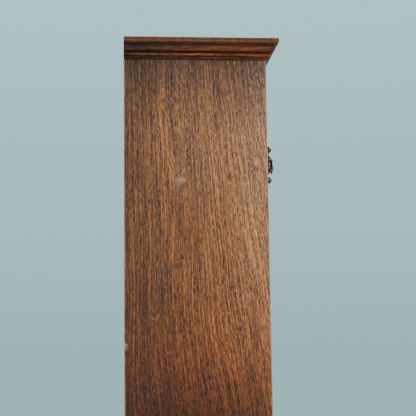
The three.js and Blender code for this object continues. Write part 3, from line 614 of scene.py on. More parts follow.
def buildScrewMaster():
    bm = bmesh.new()
    addTurned(bm, [(0.0, -0.3), (1.0, -0.3), (1.0, 0.25), (0.0, 0.25)], (0, 0, 0), "z", 16)
    for sign in (1, -1):
        rim = [(math.cos(math.radians(a)), sign * math.sin(math.radians(a)))
               for a in (13, 45, 75, 105, 135, 167)]
        lower = [bm.verts.new((x, y, 0.2)) for x, y in rim]
        upper = [bm.verts.new((x * 0.78, y * 0.78 + sign * 0.05, 0.62)) for x, y in rim]
        joinRings(bm, [lower, upper])
    fixNormals(bm)
    mesh = bpy.data.meshes.new("screwMaster")
    bm.to_mesh(mesh)
    bm.free()
    return bpy.data.objects.new("screwMaster", mesh)


screwMaster = buildScrewMaster()


def addScrews(bm, places, axis, radius, finish, material=0, seed=4):
    source = bmesh.new()
    for place in places:
        source.verts.new(place)
    addFromTree(bm, source, pointTree, {"Copy": screwMaster, "Axis": axis, "Size": radius, "Seed": seed,
                                        "Finish": finish}, material)


# Copies of a small source mesh in a ring about an axis.
def addRing(bm, source, count, centre, finish, material=0, axis=(0.0, 1.0, 0.0), first=0.0):
    addFromTree(bm, source, ringTree, {"Count": count, "Centre": centre, "Axis": axis, "First Angle": first,
                                       "Finish": finish}, material)


# Teeth or leaves: one is drawn at three o'clock and the tree turns the others.
def addTeeth(bm, centre, y0, y1, count, root, tip, finish, material=0, lean=0.0, fill=0.5):
    pitch = 2 * math.pi * root / count
    half = pitch * fill / 2
    source = bmesh.new()
    shoulder = root + (tip - root) * 0.6
    outline = [(root - 0.0005, -half * 1.1), (root, -half), (shoulder, -half * 0.72 + lean * 0.6),
               (tip, -half * 0.22 + lean), (tip, half * 0.22 + lean), (shoulder, half * 0.72 + lean * 0.6),
               (root, half), (root - 0.0005, half * 1.1)]
    rings = [[source.verts.new((centre[0] + x, depth, centre[1] + z)) for x, z in outline]
             for depth in (y0, y1)]
    joinRings(source, rings)
    addRing(bm, source, count, (centre[0], 0.0, centre[1]), finish, material)


def addArbor(bm, centre, y0, y1, radius, material=0, segments=20):
    end = min(0.0004, (y1 - y0) * 0.2)
    addTurned(bm, [(0.0, y0), (radius - end, y0), (radius, y0 + end), (radius, y1 - end), (radius - end, y1),
                   (0.0, y1)], (centre[0], 0.0, centre[1]), "y", segments, material)


# A crossed-out wheel: rim, spokes, hub and collet, with cut teeth.
def addWheel(bm, centre, y0, y1, teeth, tip, depth, spokes, finish, bore=0.0, material=0, lean=0.0,
             rim=0.0022):
    root = tip - depth
    loops = [circleLoop(*centre, root, 96)]
    if bore:
        loops.append(circleLoop(*centre, bore, 24))
    hub = max(bore, 0.0015) + 0.0028
    arm = 0.001
    spread = math.pi / spokes
    for i in range(spokes):
        middle = 2 * spread * i
        window = [(root - rim, middle + (spread - arm / (root - rim)) * (step / 6 - 1)) for step in range(13)]
        window += [(hub, middle + (spread - arm * 1.25 / hub) * (1 - step / 2.5)) for step in range(6)]
        loops.append([(centre[0] + r * math.cos(a), centre[1] + r * math.sin(a)) for r, a in window])
    addPierced(bm, loops, y0, y1, material)
    addTeeth(bm, centre, y0 + 0.00004, y1 - 0.00004, teeth, root, tip, finish, material, lean)
    if not bore:
        addTurned(bm, inMm([(0, -1.6), (3, -1.6), (3.6, -0.9), (4, 0.2), (0, 0.2)], y0),
                  (centre[0], 0.0, centre[1]), "y", 24, material)


# Places read from the frame.
sideLow, sideHigh = boxOf("side_board_left")
rightLow, rightHigh = boxOf("side_board_right")
topLow, topHigh = boxOf("top_board")
frontY = sideLow.y
backY = sideHigh.y
halfWidth = rightHigh.x
dialLow, dialHigh = boxOf("dial_plate")
dialY = dialLow.y
dialZ = (dialLow.z + dialHigh.z) / 2
doors = ("dial_door", "trunk_door")

# Marks on the left side: Y and Z of the middle, inner and outer radius, strength, colour. They are a rubbed
# spot with its tail, the curved rim that a wet cup left, and a chip at the back edge.
rubbedPale, cupPale, chipPale = (0.62, 0.52, 0.42), (0.72, 0.5, 0.26), (0.7, 0.52, 0.3)
sideMarks = [((0.043, 1.699), 0.0, 0.011, 0.2, rubbedPale), ((0.037, 1.703), 0.0, 0.008, 0.22, rubbedPale),
             ((0.0875, 1.462), 0.0055, 0.0085, 0.4, cupPale), ((0.1395, 1.4088), 0.0, 0.006, 0.4, chipPale)]


def addSideMarks(tree, place, toned):
    for (y, z), inner, outer, strength, pale in sideMarks:
        away = vectorMaths(tree, "DISTANCE", place, (-halfWidth, y, z))["Value"]
        rough = minus(tree, noise(tree, place, (200.0, 200.0, 200.0), 3.0), 0.5)
        ragged = plus(tree, away, times(tree, rough, 0.014))
        rim = remap(tree, ragged, (inner + outer) / 2, outer, 1.0, 0.0)
        if inner:
            rim = times(tree, rim, remap(tree, ragged, inner, (inner + outer) / 2))
            upper = remap(tree, parts(tree, place)[2], z - 0.004, z + 0.004)
            rim = times(tree, rim, minus(tree, 1.0, upper))
        toned = mixColour(tree, times(tree, rim, strength), toned, pale)
    return toned


# Painted light and shade on a side board: it is browner and greyer at its head (a painted shadow under the
# cornice) and at its back (painted shade), warm in the middle, lighter and bluer below the head and towards
# the front edge (a painted sheen and painted light), and darker towards the foot (painted shade).
def paintLightDownSide(tree, place, colour):
    axes = parts(tree, place)
    drift = times(tree, minus(tree, noise(tree, place, (3.0, 6.0, 3.0), 3.0), 0.5), 0.1)
    height = plus(tree, axes[2], drift)
    # by height: a painted shadow under the cornice at the head, a painted bluish sheen below it, and painted
    # shade darker towards the foot
    tint = ramp(tree, remap(tree, height, 0.6, 1.96), [
        (0.0, (0.66, 0.5, 0.38)), (0.38, (0.52, 0.38, 0.28)), (0.5, (0.35, 0.24, 0.175)),
        (0.57, (0.78, 0.55, 0.38)), (0.7, (1.14, 1.08, 0.98)), (0.88, (1.2, 1.3, 1.46)),
        (0.955, (0.7, 0.82, 1.16)), (1.0, (0.36, 0.44, 0.72))])
    toned = mixColour(tree, 1.0, colour, tint, "MULTIPLY")
    depth = remap(tree, plus(tree, axes[1], times(tree, drift, 0.4)), backY, frontY, 0.0, 1.0)
    # by depth: painted shade towards the back edge, and painted light with a bluish sheen towards the front
    # edge
    along = ramp(tree, depth, [(0.0, (0.55, 0.6, 0.66)), (0.05, (0.66, 0.71, 0.84)),
                               (0.35, (0.86, 0.85, 0.9)), (0.75, (1.1, 1.15, 1.28)),
                               (1.0, (1.3, 1.52, 1.98))])
    toned = mixColour(tree, 1.0, toned, along, "MULTIPLY")
    # only the outer face takes this painted light and shade: the front edge and the inner face keep the
    # colour of the doors
    outward = remap(tree, maths(tree, "ABSOLUTE", axes[0]), halfWidth - 0.0016, halfWidth - 0.0004)
    toned = mixColour(tree, outward, mixColour(tree, 1.0, colour, (0.76, 0.68, 0.58), "MULTIPLY"), toned)
    return addSideMarks(tree, place, toned)


print("case boards")
boardSpec = {"bevel": 0.0014, "sideSlant": -0.11, "wax": 0.52}
for side, low, high, seed in (("left", sideLow, sideHigh, 0.0), ("right", rightLow, rightHigh, 3.7)):
    bm = bmesh.new()
    addBlock(bm, low, high, boardSpec["bevel"], 2)
    finish = oakFinish(f"{side}SideOak", low, high, "z", "case", boardSpec["sideSlant"], boardSpec["wax"],
                       seed, 0.003, (0.58, 0.36, 0.2), paintLightDownSide, backY)
    addPiece(f"side_board_{side}_wood", bm, [finish], "case", [f"side_board_{side}"], 35.0)

bm = bmesh.new()
addBlock(bm, topLow, topHigh, 0.0016, 3)
topOak = oakFinish("topOak", topLow, topHigh, "x", "moulding", 0.01, 0.3, 5.0, 0.0024, (0.3, 0.15, 0.08))
addPiece("top_board_wood", bm, [topOak], "case", ["top_board"], 35.0)

for name, seed in (("middle_face_rail", 1.3), ("upper_face_rail", 2.1)):
    low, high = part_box(name)
    bm = bmesh.new()
    addBlock(bm, low, high, 0.001, 2)
    railOak = oakFinish(name + "Oak", low, high, "xFront", "front", 0.02, 0.45, seed)
    addPiece(name + "_wood", bm, [railOak], "case", [name], 35.0)


# The base front: a fielded panel held by two stiles and two rails, with a moulded edge.
baseSpec = {"stile": 0.062, "rail": 0.07, "fielding": 0.034, "sink": 0.006}
low, high = boxOf("base_front_board")
opening = (low.x + baseSpec["stile"], high.x - baseSpec["stile"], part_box("plinth_front")[1][2] + 0.05,
           high.z - baseSpec["rail"])
bm = bmesh.new()
for x0, x1 in ((low.x, opening[0]), (opening[1], high.x)):
    addBlock(bm, (x0, low.y, low.z), (x1, high.y, high.z), 0.0006, 2, 0)
for z0, z1 in ((low.z, opening[2]), (opening[3], high.z)):
    addBlock(bm, (opening[0], low.y, z0), (opening[1], high.y, z1), 0.0006, 2, 1)
fieldRings = [(0.0, baseSpec["sink"]), (baseSpec["fielding"], 0.0025),
              (baseSpec["fielding"] + 0.0015, 0.0008)]
rings = []
for inset, depth in fieldRings:
    corners = ((opening[0] + inset, opening[2] + inset), (opening[1] - inset, opening[2] + inset),
               (opening[1] - inset, opening[3] - inset), (opening[0] + inset, opening[3] - inset))
    rings.append([bm.verts.new((x, low.y + depth, z)) for x, z in corners])
backRing = [bm.verts.new((vert.co.x, high.y - 0.001, vert.co.z)) for vert in rings[0]]
joinRings(bm, [backRing] + rings, 2)
baseFinishes = [oakFinish("baseStileOak", low, high, "zFront", "front", 0.02, 0.4, 4.4),
                oakFinish("baseRailOak", low, high, "xFront", "front", 0.02, 0.4, 4.9),
                oakFinish("basePanelOak", (opening[0], low.y, opening[2]), (opening[1], high.y, opening[3]),
                          "zFront", "front", 0.12, 0.4, 6.2)]
addPiece("base_front_joinery", bm, baseFinishes, "case", ["base_front_board"], 25.0)


# Cornice and plinth mouldings, mitred at the front corners.
def corniceOutline(height):
    points = inMm([(0.3, 0), (2.6, 0.3), (3, 1), (2.8, 1.8), (2.8, 2.2)])
    points += arc((0.0037, 0.0032), 0.0013, -80, 80, 6)
    points += inMm([(4.2, 4.7), (7.2, 5.2), (7.6, 5.7), (7.6, 9.4), (7.2, 9.9), (6.6, 10.1), (6.6, 12.5),
                    (9, 12.8)])
    points += curveThrough((0.009, 0.0128), (0.015, 0.0142), (0.0157, height - 0.007), 8)
    points += inMm([(15.3, -6.6), (14, -6.5), (14, -5.5)], height)
    points += curveThrough((0.014, height - 0.0055), (0.015, height - 0.0016), (0.0187, height - 0.0008), 6)
    return points + [(0.019, height - 0.0002), (0.0003, height - 0.0002)]


def plinthOutline(height):
    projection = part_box("plinth_front")[1][1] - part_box("plinth_front")[0][1] + 0.0003
    shoulder = height - 0.015
    points = [(0.0003, 0.0), (projection - 0.001, 0.0), (projection, 0.001), (projection, shoulder - 0.001)]
    points += [(projection - 0.0008, shoulder), (projection - 0.002, shoulder + 0.0012)]
    points += curveThrough((projection - 0.002, shoulder + 0.0015), (projection - 0.008, shoulder + 0.003),
                           (projection - 0.009, height - 0.003), 6)
    return points + inMm([(5.5, -0.6), (3, 0), (0.3, 0)], height)


# Painted shade in the hollows of the cornice and painted highlights on its swelling parts, with painted shade
# towards its back.
def paintLightOnCornice(tree, place, colour):
    axes = parts(tree, place)
    low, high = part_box("cornice_front")
    rise = plus(tree, remap(tree, axes[2], low[2], high[2]),
                times(tree, minus(tree, noise(tree, place, (40.0, 40.0, 40.0), 2.0), 0.5), 0.05))
    # by height: painted shade under the fillets and in the quirks, and painted highlights on the rounds
    bands = ramp(tree, rise, [
        (0.0, (0.35, 0.3, 0.3)), (0.09, (1.1, 1.0, 0.9)), (0.16, (0.3, 0.26, 0.25)), (0.22, (1.3, 1.2, 1.1)),
        (0.34, (1.5, 1.35, 1.25)), (0.37, (0.28, 0.24, 0.24)), (0.45, (0.45, 0.36, 0.34)),
        (0.52, (1.5, 1.4, 1.4)), (0.7, (1.2, 1.15, 1.2)), (0.76, (0.9, 1.0, 1.1)), (0.8, (0.55, 0.5, 0.45)),
        (0.88, (0.5, 0.4, 0.34)), (0.97, (0.3, 0.26, 0.24))])
    banded = mixColour(tree, 1.0, colour, bands, "MULTIPLY")
    # painted shade towards the back and painted light near the front corner
    toBack = ramp(tree, remap(tree, axes[1], backY, frontY - 0.02), [
        (0.0, (0.36, 0.46, 0.5)), (0.22, (0.55, 0.62, 0.66)), (0.42, (1.0, 0.98, 0.95)),
        (0.86, (1.35, 1.2, 1.1)), (1.0, (0.72, 0.72, 0.74))])
    return mixColour(tree, 1.0, banded, toBack, "MULTIPLY")


def buildMouldings(name, outlineOf, tone, wear, worn, seed, paintedLight=None):
    low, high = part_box(name + "_front")
    height = high[2] - low[2]
    outline = outlineOf(height)
    gap = 0.0002
    runs = {"front": ((halfWidth, frontY), (-halfWidth, frontY), (0, -1, 0), (1, 1), "xFront"),
            "left": ((-halfWidth, frontY + gap), (-halfWidth, backY), (-1, 0, 0), (1, 0), "y"),
            "right": ((halfWidth, backY), (halfWidth, frontY + gap), (1, 0, 0), (0, 1), "y")}
    for index, (side, (start, end, outward, mitres, grain)) in enumerate(runs.items()):
        rng = random.Random(seed + index)
        dents = [(rng.uniform(-0.25, 0.25), rng.uniform(0.002, 0.008), rng.uniform(0.0002, 0.0006))
                 for _ in range(22)]

        def sway(place, out, rise, dents=dents, grain=grain):
            along = place.x if grain == "xFront" else place.y
            bruise = sum(depth * math.exp(-((along - at) / width) ** 2) for at, width, depth in dents)
            return -bruise if 0.4 * height < rise and out > 0.013 else 0.0

        bm = bmesh.new()
        addMoulding(bm, outline, (*start, low[2]), (*end, low[2]), outward, (0, 0, 1), mitres, 90, 0, sway)
        finish = oakFinish(f"{name}{side.title()}Oak", *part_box(f"{name}_{side}"), grain, tone, 0.01, 0.35,
                           seed + index, wear, worn, paintedLight)
        addPiece(f"{name}_{side}_moulding", bm, [finish], "case", [f"{name}_{side}"], 28.0)


print("mouldings")
buildMouldings("cornice", corniceOutline, "moulding", 0.002, (0.34, 0.17, 0.08), 11, paintLightOnCornice)
buildMouldings("plinth", plinthOutline, "front", 0.003, (0.34, 0.21, 0.12), 31)


# Doors: mitred and moulded frames with bevelled glass. The glass lies under a lip of the frame.
print("doors")
doorSpec = {"moulding": 0.012, "glassBevel": 0.014, "lip": 0.008, "cover": 0.0003}


def openingOf(door):
    low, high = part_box(door + "_glass")
    lip = doorSpec["lip"] - doorSpec["cover"]
    return low[0] + lip, high[0] - lip, low[2] + lip, high[2] - lip


def buildDoorFrame(door, seed):
    low, high = boxOf(door + "_frame")
    x0, x1, z0, z1 = openingOf(door)
    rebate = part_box(door + "_glass")[0][1] - 0.0004
    edge = doorSpec["moulding"]
    bm = bmesh.new()
    for a, b in ((low.x, x0 - edge), (x1 + edge, high.x)):
        addBlock(bm, (a, low.y, low.z), (b, high.y, high.z), 0.0009, 2, 0)
    for a, b in ((low.z, z0 - edge), (z1 + edge, high.z)):
        addBlock(bm, (x0 - edge + 0.0001, low.y, a), (x1 + edge - 0.0001, high.y, b), 0.0006, 2, 1)
    deep = rebate - low.y
    inside = doorSpec["lip"] - edge + 0.0015
    thick = high.y - low.y - 0.0006
    rim = [(0.0, deep), (inside, deep), (inside, thick), (-edge + 0.0002, thick), (-edge + 0.0002, 0.0004),
           (-edge + 0.0012, 0.0004), (-edge + 0.0012, 0.0016)]
    rim += curveThrough((-edge + 0.0012, 0.0016), (-0.0035, 0.0012), (-0.0024, 0.0062), 6)
    rim += [(-0.0014, 0.0066), (-0.0002, 0.0076)]
    sides = (((x0, z0), (x0, z1), (1, 0, 0), 2), ((x0, z1), (x1, z1), (0, 0, -1), 3),
             ((x1, z1), (x1, z0), (-1, 0, 0), 2), ((x1, z0), (x0, z0), (0, 0, 1), 3))
    for (ax, az), (bx, bz), outward, material in sides:
        addMoulding(bm, rim, (ax, low.y, az), (bx, low.y, bz), outward, (0, 1, 0), (-1, -1), 1, material)
    finishes = [oakFinish(f"{door}StileOak", low, high, "zFront", "front", 0.02, 0.42, seed, 0.0024),
                oakFinish(f"{door}RailOak", low, high, "xFront", "front", 0.02, 0.42, seed + 1.1, 0.0024),
                oakFinish(f"{door}MouldOakZ", low, high, "zFront", "moulding", 0.01, 0.3, seed + 2.3),
                oakFinish(f"{door}MouldOakX", low, high, "xFront", "moulding", 0.01, 0.3, seed + 3.1)]
    addPiece(door + "_joinery", bm, finishes, door, [door + "_frame"], 28.0)


def buildGlass(door):
    low, high = boxOf(door + "_glass")
    bevel = doorSpec["glassBevel"]
    rings = []
    bm = bmesh.new()
    for inset, depth in ((0.0, high.y), (0.0, low.y + 0.0012), (bevel, low.y), (bevel + 0.0004, low.y)):
        corners = ((low.x + inset, low.z + inset), (high.x - inset, low.z + inset),
                   (high.x - inset, high.z - inset), (low.x + inset, high.z - inset))
        rings.append([bm.verts.new((x, depth, z)) for x, z in corners])
    joinRings(bm, rings)
    addPiece(door + "_pane", bm, [windowGlass], door, [door + "_glass"], 5.0)


hingeAxis = {joint["child"]: Vector(joint["pos_m"]) for joint in frame["joints"]
             if joint["name"].endswith("_door_swing")}


def buildHingeLeaves(door, position):
    for part, body in (("case_leaf", "case"), ("door_leaf", door)):
        node = f"{door}_{position}_hinge_{part}"
        low, high = boxOf(node)
        axis = hingeAxis[door]
        third = (high.z - low.z) / 6
        middle = (high.z + low.z) / 2
        inner = 1 if part == "case_leaf" else -1
        bore = 0.0016 if part == "case_leaf" else 0.0
        leafX = sorted((axis.x + inner * 0.00015, axis.x + inner * 0.00115))
        bm = bmesh.new()
        addBlock(bm, (leafX[0], axis.y + 0.0035, low.z), (leafX[1], high.y, high.z), 0.0003, 1)
        spans = [(middle - third + 0.0003, middle + third - 0.0003)] if bore else [
            (low.z, middle - third), (middle + third, high.z)]
        for z0, z1 in spans:
            addBlock(bm, (leafX[0], axis.y, z0), (leafX[1], axis.y + 0.0045, z1), 0.0002, 1)
            knuckle = [(bore, z0), (0.0026, z0), (0.003, z0 + 0.0004), (0.003, z1 - 0.0004), (0.0026, z1),
                       (bore, z1)]
            addTurned(bm, knuckle + knuckle[:1] if bore else knuckle, (axis.x, axis.y, 0.0), "z", 20)
        if not bore:
            for end, sign in ((high.z, 1), (low.z, -1)):
                tip = inMm([(0, 6.2), (1, 5.8), (1.7, 4.4), (1.9, 3.4), (1.4, 2.2), (1.1, 1.4), (2.2, 0.8),
                            (2.4, 0)])
                tip = [(radius, end + sign * rise) for radius, rise in tip]
                addTurned(bm, tip[::-sign], (axis.x, axis.y, 0.0), "z", 16)
            addTurned(bm, [(0.0, low.z), (0.0012, low.z), (0.0012, high.z), (0.0, high.z)],
                      (axis.x, axis.y, 0.0), "z", 10)
        addPiece(node + "_brass", bm, [brass], body, [node], 40.0)


# Drop handles: a leaf-edged back plate with bosses, two ears with a pin, and a basket drop.
handleSpec = {"plate": 0.0022, "segments": 24, "boss": 0.0114, "guard": 0.0096, "ribs": 6, "widen": 1.65}
dropPivot = {joint["name"].removesuffix("_drop_lift"): Vector(joint["pos_m"]) for joint in frame["joints"]
             if joint["name"].endswith("_drop_lift")}


def handleOutline(rise, drop):
    right = inMm([(0, 0), (1.8, -3), (5.2, -7.5), (6.6, -11.8), (4.8, -15.5), (3.4, -17.5), (5.2, -20),
                  (9.2, -22.5), (11.9, -28.5), (11.1, -34.5), (11.9, -40.5), (9.2, -46.5), (5.2, -49),
                  (3.4, -51.5), (4.8, -54), (6.6, -58), (5.2, -62), (1.8, -66.5)], rise)
    left = [(-x, z) for x, z in reversed(right[1:])]
    return right + [(0.0, -drop)] + left


def smoothLoop(points, rounds=2):
    for _ in range(rounds):
        cut = []
        for (x0, z0), (x1, z1) in zip(points, points[1:] + points[:1]):
            cut += [(0.78 * x0 + 0.22 * x1, 0.78 * z0 + 0.22 * z1),
                    (0.22 * x0 + 0.78 * x1, 0.22 * z0 + 0.78 * z1)]
        points = cut
    return points


def buildHandlePlate(door):
    low, high = boxOf(door + "_handle_plate")
    pivot = dropPivot[door]
    middle = pivot.z - 0.009
    x = pivot.x
    face = high.y
    bm = bmesh.new()
    outline = [(x + a, middle + b)
               for a, b in smoothLoop(handleOutline(high.z - middle, middle - low.z))]
    addFlat(bm, outline, face - handleSpec["plate"], face, 0, 0.0007)
    segments = handleSpec["segments"]
    pinReach = face - pivot.y
    for z, sign in ((high.z - 0.0068, 1), (low.z + 0.0068, -1)):
        # a veined leaf boss that swells away from the plate and runs out to its point
        for width, share, offset, tall in ((0.0044, 1.0, 0.0, 1.18), (0.0028, 0.8, 0.0036, 1.3),
                                           (0.0026, 0.72, -0.0044, 1.2)):
            out = handleSpec["boss"] * share
            dome = [(0.0, -out), (width * 0.34, -out * 0.975), (width * 0.62, -out * 0.86),
                    (width * 0.85, -out * 0.66), (width, -out * 0.36), (width, -0.001), (0.0, -0.001)]
            addTurned(bm, dome, (x, face, z + sign * offset), "y", segments, 0, (tall, 1.0))
        for sideways in (-1, 1):
            vein = [(x + sideways * a, z + sign * b)
                    for a, b in inMm([(1.2, -5.6), (3.4, -3), (4.6, 0.4), (3.4, 3.6), (1, 6)])]
            addScroll(bm, vein, [0.0006, 0.0012, 0.0014, 0.0011, 0.0005], face - 0.0016,
                      handleSpec["boss"] * 0.42)
    for sideways in (-1, 1):
        # a bowed guard on each side of the drop, from one boss to the other
        guard = [Vector((x + sideways * (0.006 + 0.0022 * math.sin(math.pi * i / 20)),
                         face - 0.0018 - handleSpec["guard"] * math.sin(math.pi * i / 20) ** 0.75,
                         middle + 0.0205 - 0.0385 * i / 20)) for i in range(21)]
        addTube(bm, guard, [0.00075 + 0.0005 * abs(math.cos(3 * math.pi * i / 20)) for i in range(21)], 8)
        for i in (5, 10, 15):
            addTube(bm, [guard[i], Vector((guard[i].x - sideways * 0.0004, face - 0.001, guard[i].z))],
                    [0.0008, 0.0011], 8)
        # leaf edges that curl up from the sides of the plate
        for top, foot, height in ((0.0158, 0.0022, 0.0072), (0.0014, -0.0138, 0.0062)):
            curl = [(x + sideways * (0.0082 + 0.0024 * math.sin(math.pi * i / 10)),
                     middle + top + (foot - top) * i / 10) for i in range(11)]
            addScroll(bm, curl, [0.0008 + 0.0009 * math.sin(math.pi * i / 10) for i in range(11)],
                      face - 0.0016, height)
        for z, radius in ((middle + 0.002, 0.0021), (middle - 0.012, 0.0017), (middle + 0.0195, 0.0015)):
            bead = [(0.0, -0.0048), (radius * 0.7, -0.0043), (radius, -0.003), (radius, -0.001),
                    (0.0, -0.001)]
            addTurned(bm, bead, (x + sideways * 0.0078, face, z), "y", 16)
        earX = x + sideways * 0.0038
        ear = [(0.0, -0.001), (0.0034, -0.001), (0.0026, -0.0028), (0.0018, -0.0042),
               (0.0021, -pinReach + 0.0014), (0.0028, -pinReach), (0.0024, -pinReach - 0.001),
               (0.0012, -pinReach - 0.0017), (0.0, -pinReach - 0.0019)]
        addTurned(bm, ear, (earX, face, pivot.z), "y", 18, 0, (1.0, 0.55))
    addTurned(bm, inMm([(0, -5.4), (1.1, -5.4), (1.1, 5.4), (0, 5.4)]), (x, pivot.y, pivot.z), "x", 14)
    crown = inMm([(0, -6.2), (2.2, -5.8), (3.6, -4.4), (4, -2.8), (5.2, -1.2), (0, -1.2)])
    addTurned(bm, crown, (x, face, pivot.z + 0.0068), "y", segments)
    addPiece(door + "_handle_back", bm, [bronze], door, [door + "_handle_plate"], 40.0)


def buildDrop(door):
    pivot = dropPivot[door]
    segments = handleSpec["segments"]
    widen = handleSpec["widen"]
    bm = bmesh.new()
    ring = inMm([(1.4, -2.1), (2.4, -2.1), (3.1, -1.2), (3.2, 0), (3.1, 1.2), (2.4, 2.1), (1.4, 2.1),
                 (1.4, -2.1)])
    addTurned(bm, ring, pivot, "x", 20)
    tip = boxOf(door + "_drop")[0].z - pivot.z
    # below its eye the drop is a basket of bowed ribs round a bead, with a turned tip
    tipProfile = inMm([(0, 0), (1, 0.5), (1.3, 1.5), (0.9, 2.4), (1.8, 3.1), (2, 4), (1.2, 4.8), (0, 5)], tip)
    addTurned(bm, tipProfile, pivot, "z", segments, 0, (widen, 1.0))
    addTurned(bm, inMm([(0, -6.8), (1.4, -6.6), (2, -5.6), (1.4, -4.2), (1.2, -3), (1.8, -2.4), (0, -2.2)]),
              pivot, "z", segments, 0, (widen, 1.0))
    addTurned(bm, inMm([(0, -16.2), (1, -15.8), (1.7, -14.2), (1.9, -12.8), (1.6, -11.2), (0.8, -10),
                        (0.6, -6.2), (0, -6)]), pivot, "z", 16, 0, (widen, 1.0))
    top, foot = -0.006, tip + 0.004
    source = bmesh.new()
    path = [Vector((pivot.x + 0.0006 + 0.0024 * math.sin(math.pi * i / 12) ** 0.8, pivot.y,
                    pivot.z + top + (foot - top) * i / 12)) for i in range(13)]
    addTube(source, path, [0.0007] * 13, 7)
    basket = bmesh.new()
    addRing(basket, source, handleSpec["ribs"], (pivot.x, pivot.y, 0.0), bronze, 0, (0.0, 0.0, 1.0), 0.3)
    for vert in basket.verts:
        vert.co.x = pivot.x + (vert.co.x - pivot.x) * widen
    ribs = bpy.data.meshes.new("dropRibs")
    basket.to_mesh(ribs)
    basket.free()
    bm.from_mesh(ribs)
    bpy.data.meshes.remove(ribs)
    addPiece(door + "_drop_bronze", bm, [bronze], door + "_drop", [door + "_drop"], 40.0)


for index, door in enumerate(doors):
    buildDoorFrame(door, 7.0 + 3 * index)
    buildGlass(door)
    for position in ("lower", "upper"):
        buildHingeLeaves(door, position)
    buildHandlePlate(door)
    buildDrop(door)


# The dial: a matted plate with winding holes, cast corner scrolls and a ringed centre.
print("dial and hands")
dialSpec = {"corner": 0.0016, "windingRing": 0.0085, "centreRing": 0.03}
windingSquares = [(0.038, dialZ - 0.016), (-0.038, dialZ - 0.016)]


# A scroll of the corner ornament, drawn for the upper right corner and turned over into any of the four.
def addCornerScroll(bm, path, radii, height, corner, mirrored=False):
    if mirrored:
        path = [(z, x) for x, z in path]
    addScroll(bm, [(corner[0] * x, dialZ + corner[1] * z) for x, z in path], radii, dialY, height, 1)


def taper(first, fall, count):
    return [first - fall * i / count for i in range(count)]


def buildDialPlate():
    bm = bmesh.new()
    edge = 0.0006
    outer = [(dialLow.x + edge, dialLow.z + edge), (dialHigh.x - edge, dialLow.z + edge),
             (dialHigh.x - edge, dialHigh.z - edge), (dialLow.x + edge, dialHigh.z - edge)]
    loops = [outer, circleLoop(0.0, dialZ, 0.0062, 40)]
    loops += [circleLoop(x, z, 0.006, 40) for x, z in windingSquares]
    addPierced(bm, loops, dialY, dialY + 0.002, 0)
    for x, z in windingSquares + [(0.0, dialZ)]:
        inner = 0.0061 if x else 0.0064
        for reach, rise in ((dialSpec["windingRing"], 0.0007), (0.0105, 0.0003)):
            ring = [(inner, dialY - 0.00001), (inner, dialY - rise), (reach - 0.0004, dialY - rise),
                    (reach, dialY - rise * 0.5), (reach, dialY - 0.00001), (inner, dialY - 0.00001)]
            addTurned(bm, ring, (x, 0.0, z), "y", 40, 1)
    for reach in (dialSpec["centreRing"], dialSpec["centreRing"] + 0.0035, 0.093):
        ring = [(reach, dialY + 0.0002), (reach, dialY - 0.0004), (reach + 0.0008, dialY - 0.0004),
                (reach + 0.0008, dialY + 0.0002), (reach, dialY + 0.0002)]
        addTurned(bm, ring, (0.0, 0.0, dialZ), "y", 96, 1)
    inset, border, thick = 0.0012, 0.0022, 0.0005
    for sign in (-1, 1):
        a, b = sorted((sign * (dialHigh.x - inset - border), sign * (dialHigh.x - inset)))
        addBlock(bm, (dialLow.x + inset, dialY - thick, dialZ + a),
                 (dialHigh.x - inset, dialY + 0.0001, dialZ + b), 0.0002, 1, 1)
        addBlock(bm, (a, dialY - thick, dialLow.z + inset + border),
                 (b, dialY + 0.0001, dialHigh.z - inset - border), 0.0002, 1, 1)
    height = dialSpec["corner"]
    for corner in ((sx, sz) for sx in (-1, 1) for sz in (-1, 1)):
        for mirrored in (False, True):
            stem = [(0.133, 0.133)] + curveThrough((0.133, 0.133), (0.133, 0.112), (0.119, 0.1065), 8)
            stem += spiralPath((0.1225, 0.101), 0.0062, 122, 1.15, 22)[1:]
            addCornerScroll(bm, stem, taper(0.0021, 0.0014, len(stem)), height, corner, mirrored)
            arm = curveThrough((0.136, 0.128), (0.139, 0.1), (0.133, 0.084), 8)
            arm += spiralPath((0.1365, 0.0805), 0.0045, 130, 1.1, 18)[1:]
            addCornerScroll(bm, arm, taper(0.0019, 0.0013, len(arm)), height * 0.9, corner, mirrored)
            tail = curveThrough((0.1378, 0.095), (0.1405, 0.072), (0.1385, 0.056), 8)
            addCornerScroll(bm, tail, (0.0008, 0.0017, 0.0021, 0.0019, 0.0016, 0.0012, 0.0008, 0.0004),
                            height * 0.8, corner, mirrored)
            leaf = curveThrough((0.13, 0.124), (0.119, 0.121), (0.108, 0.1165), 7)
            addCornerScroll(bm, leaf, (0.001, 0.0026, 0.0034, 0.0031, 0.0024, 0.0014, 0.0004), height, corner,
                            mirrored)
        shell = curveThrough((0.14, 0.14), (0.128, 0.128), (0.112, 0.112), 7)
        addCornerScroll(bm, shell, (0.0012, 0.003, 0.0042, 0.004, 0.003, 0.0018, 0.0004), height * 1.15,
                        corner)
        dome = inMm([(0, -2.1), (1.6, -1.8), (2.4, -0.8), (2.4, 0), (0, 0)], dialY)
        for reach in (0.1395, 0.119):
            addTurned(bm, dome, (corner[0] * reach, 0.0, dialZ + corner[1] * reach), "y", 16, 1)
        foot = (corner[0] * 0.06, dialZ + (0.07 if corner[1] > 0 else -0.06))
        addArbor(bm, foot, dialY + 0.0018, dialHigh.y, 0.003, 1)
    addPiece("dial_plate_brass", bm, [dialBrass, brass], "case", ["dial_plate"])


# Numerals are built from thick and thin strokes with serifs, feet to the middle of the dial.
numeralSpec = {"foot": 0.1045, "head": 0.1245, "thick": 0.003, "thin": 0.0011, "serif": 0.0008}


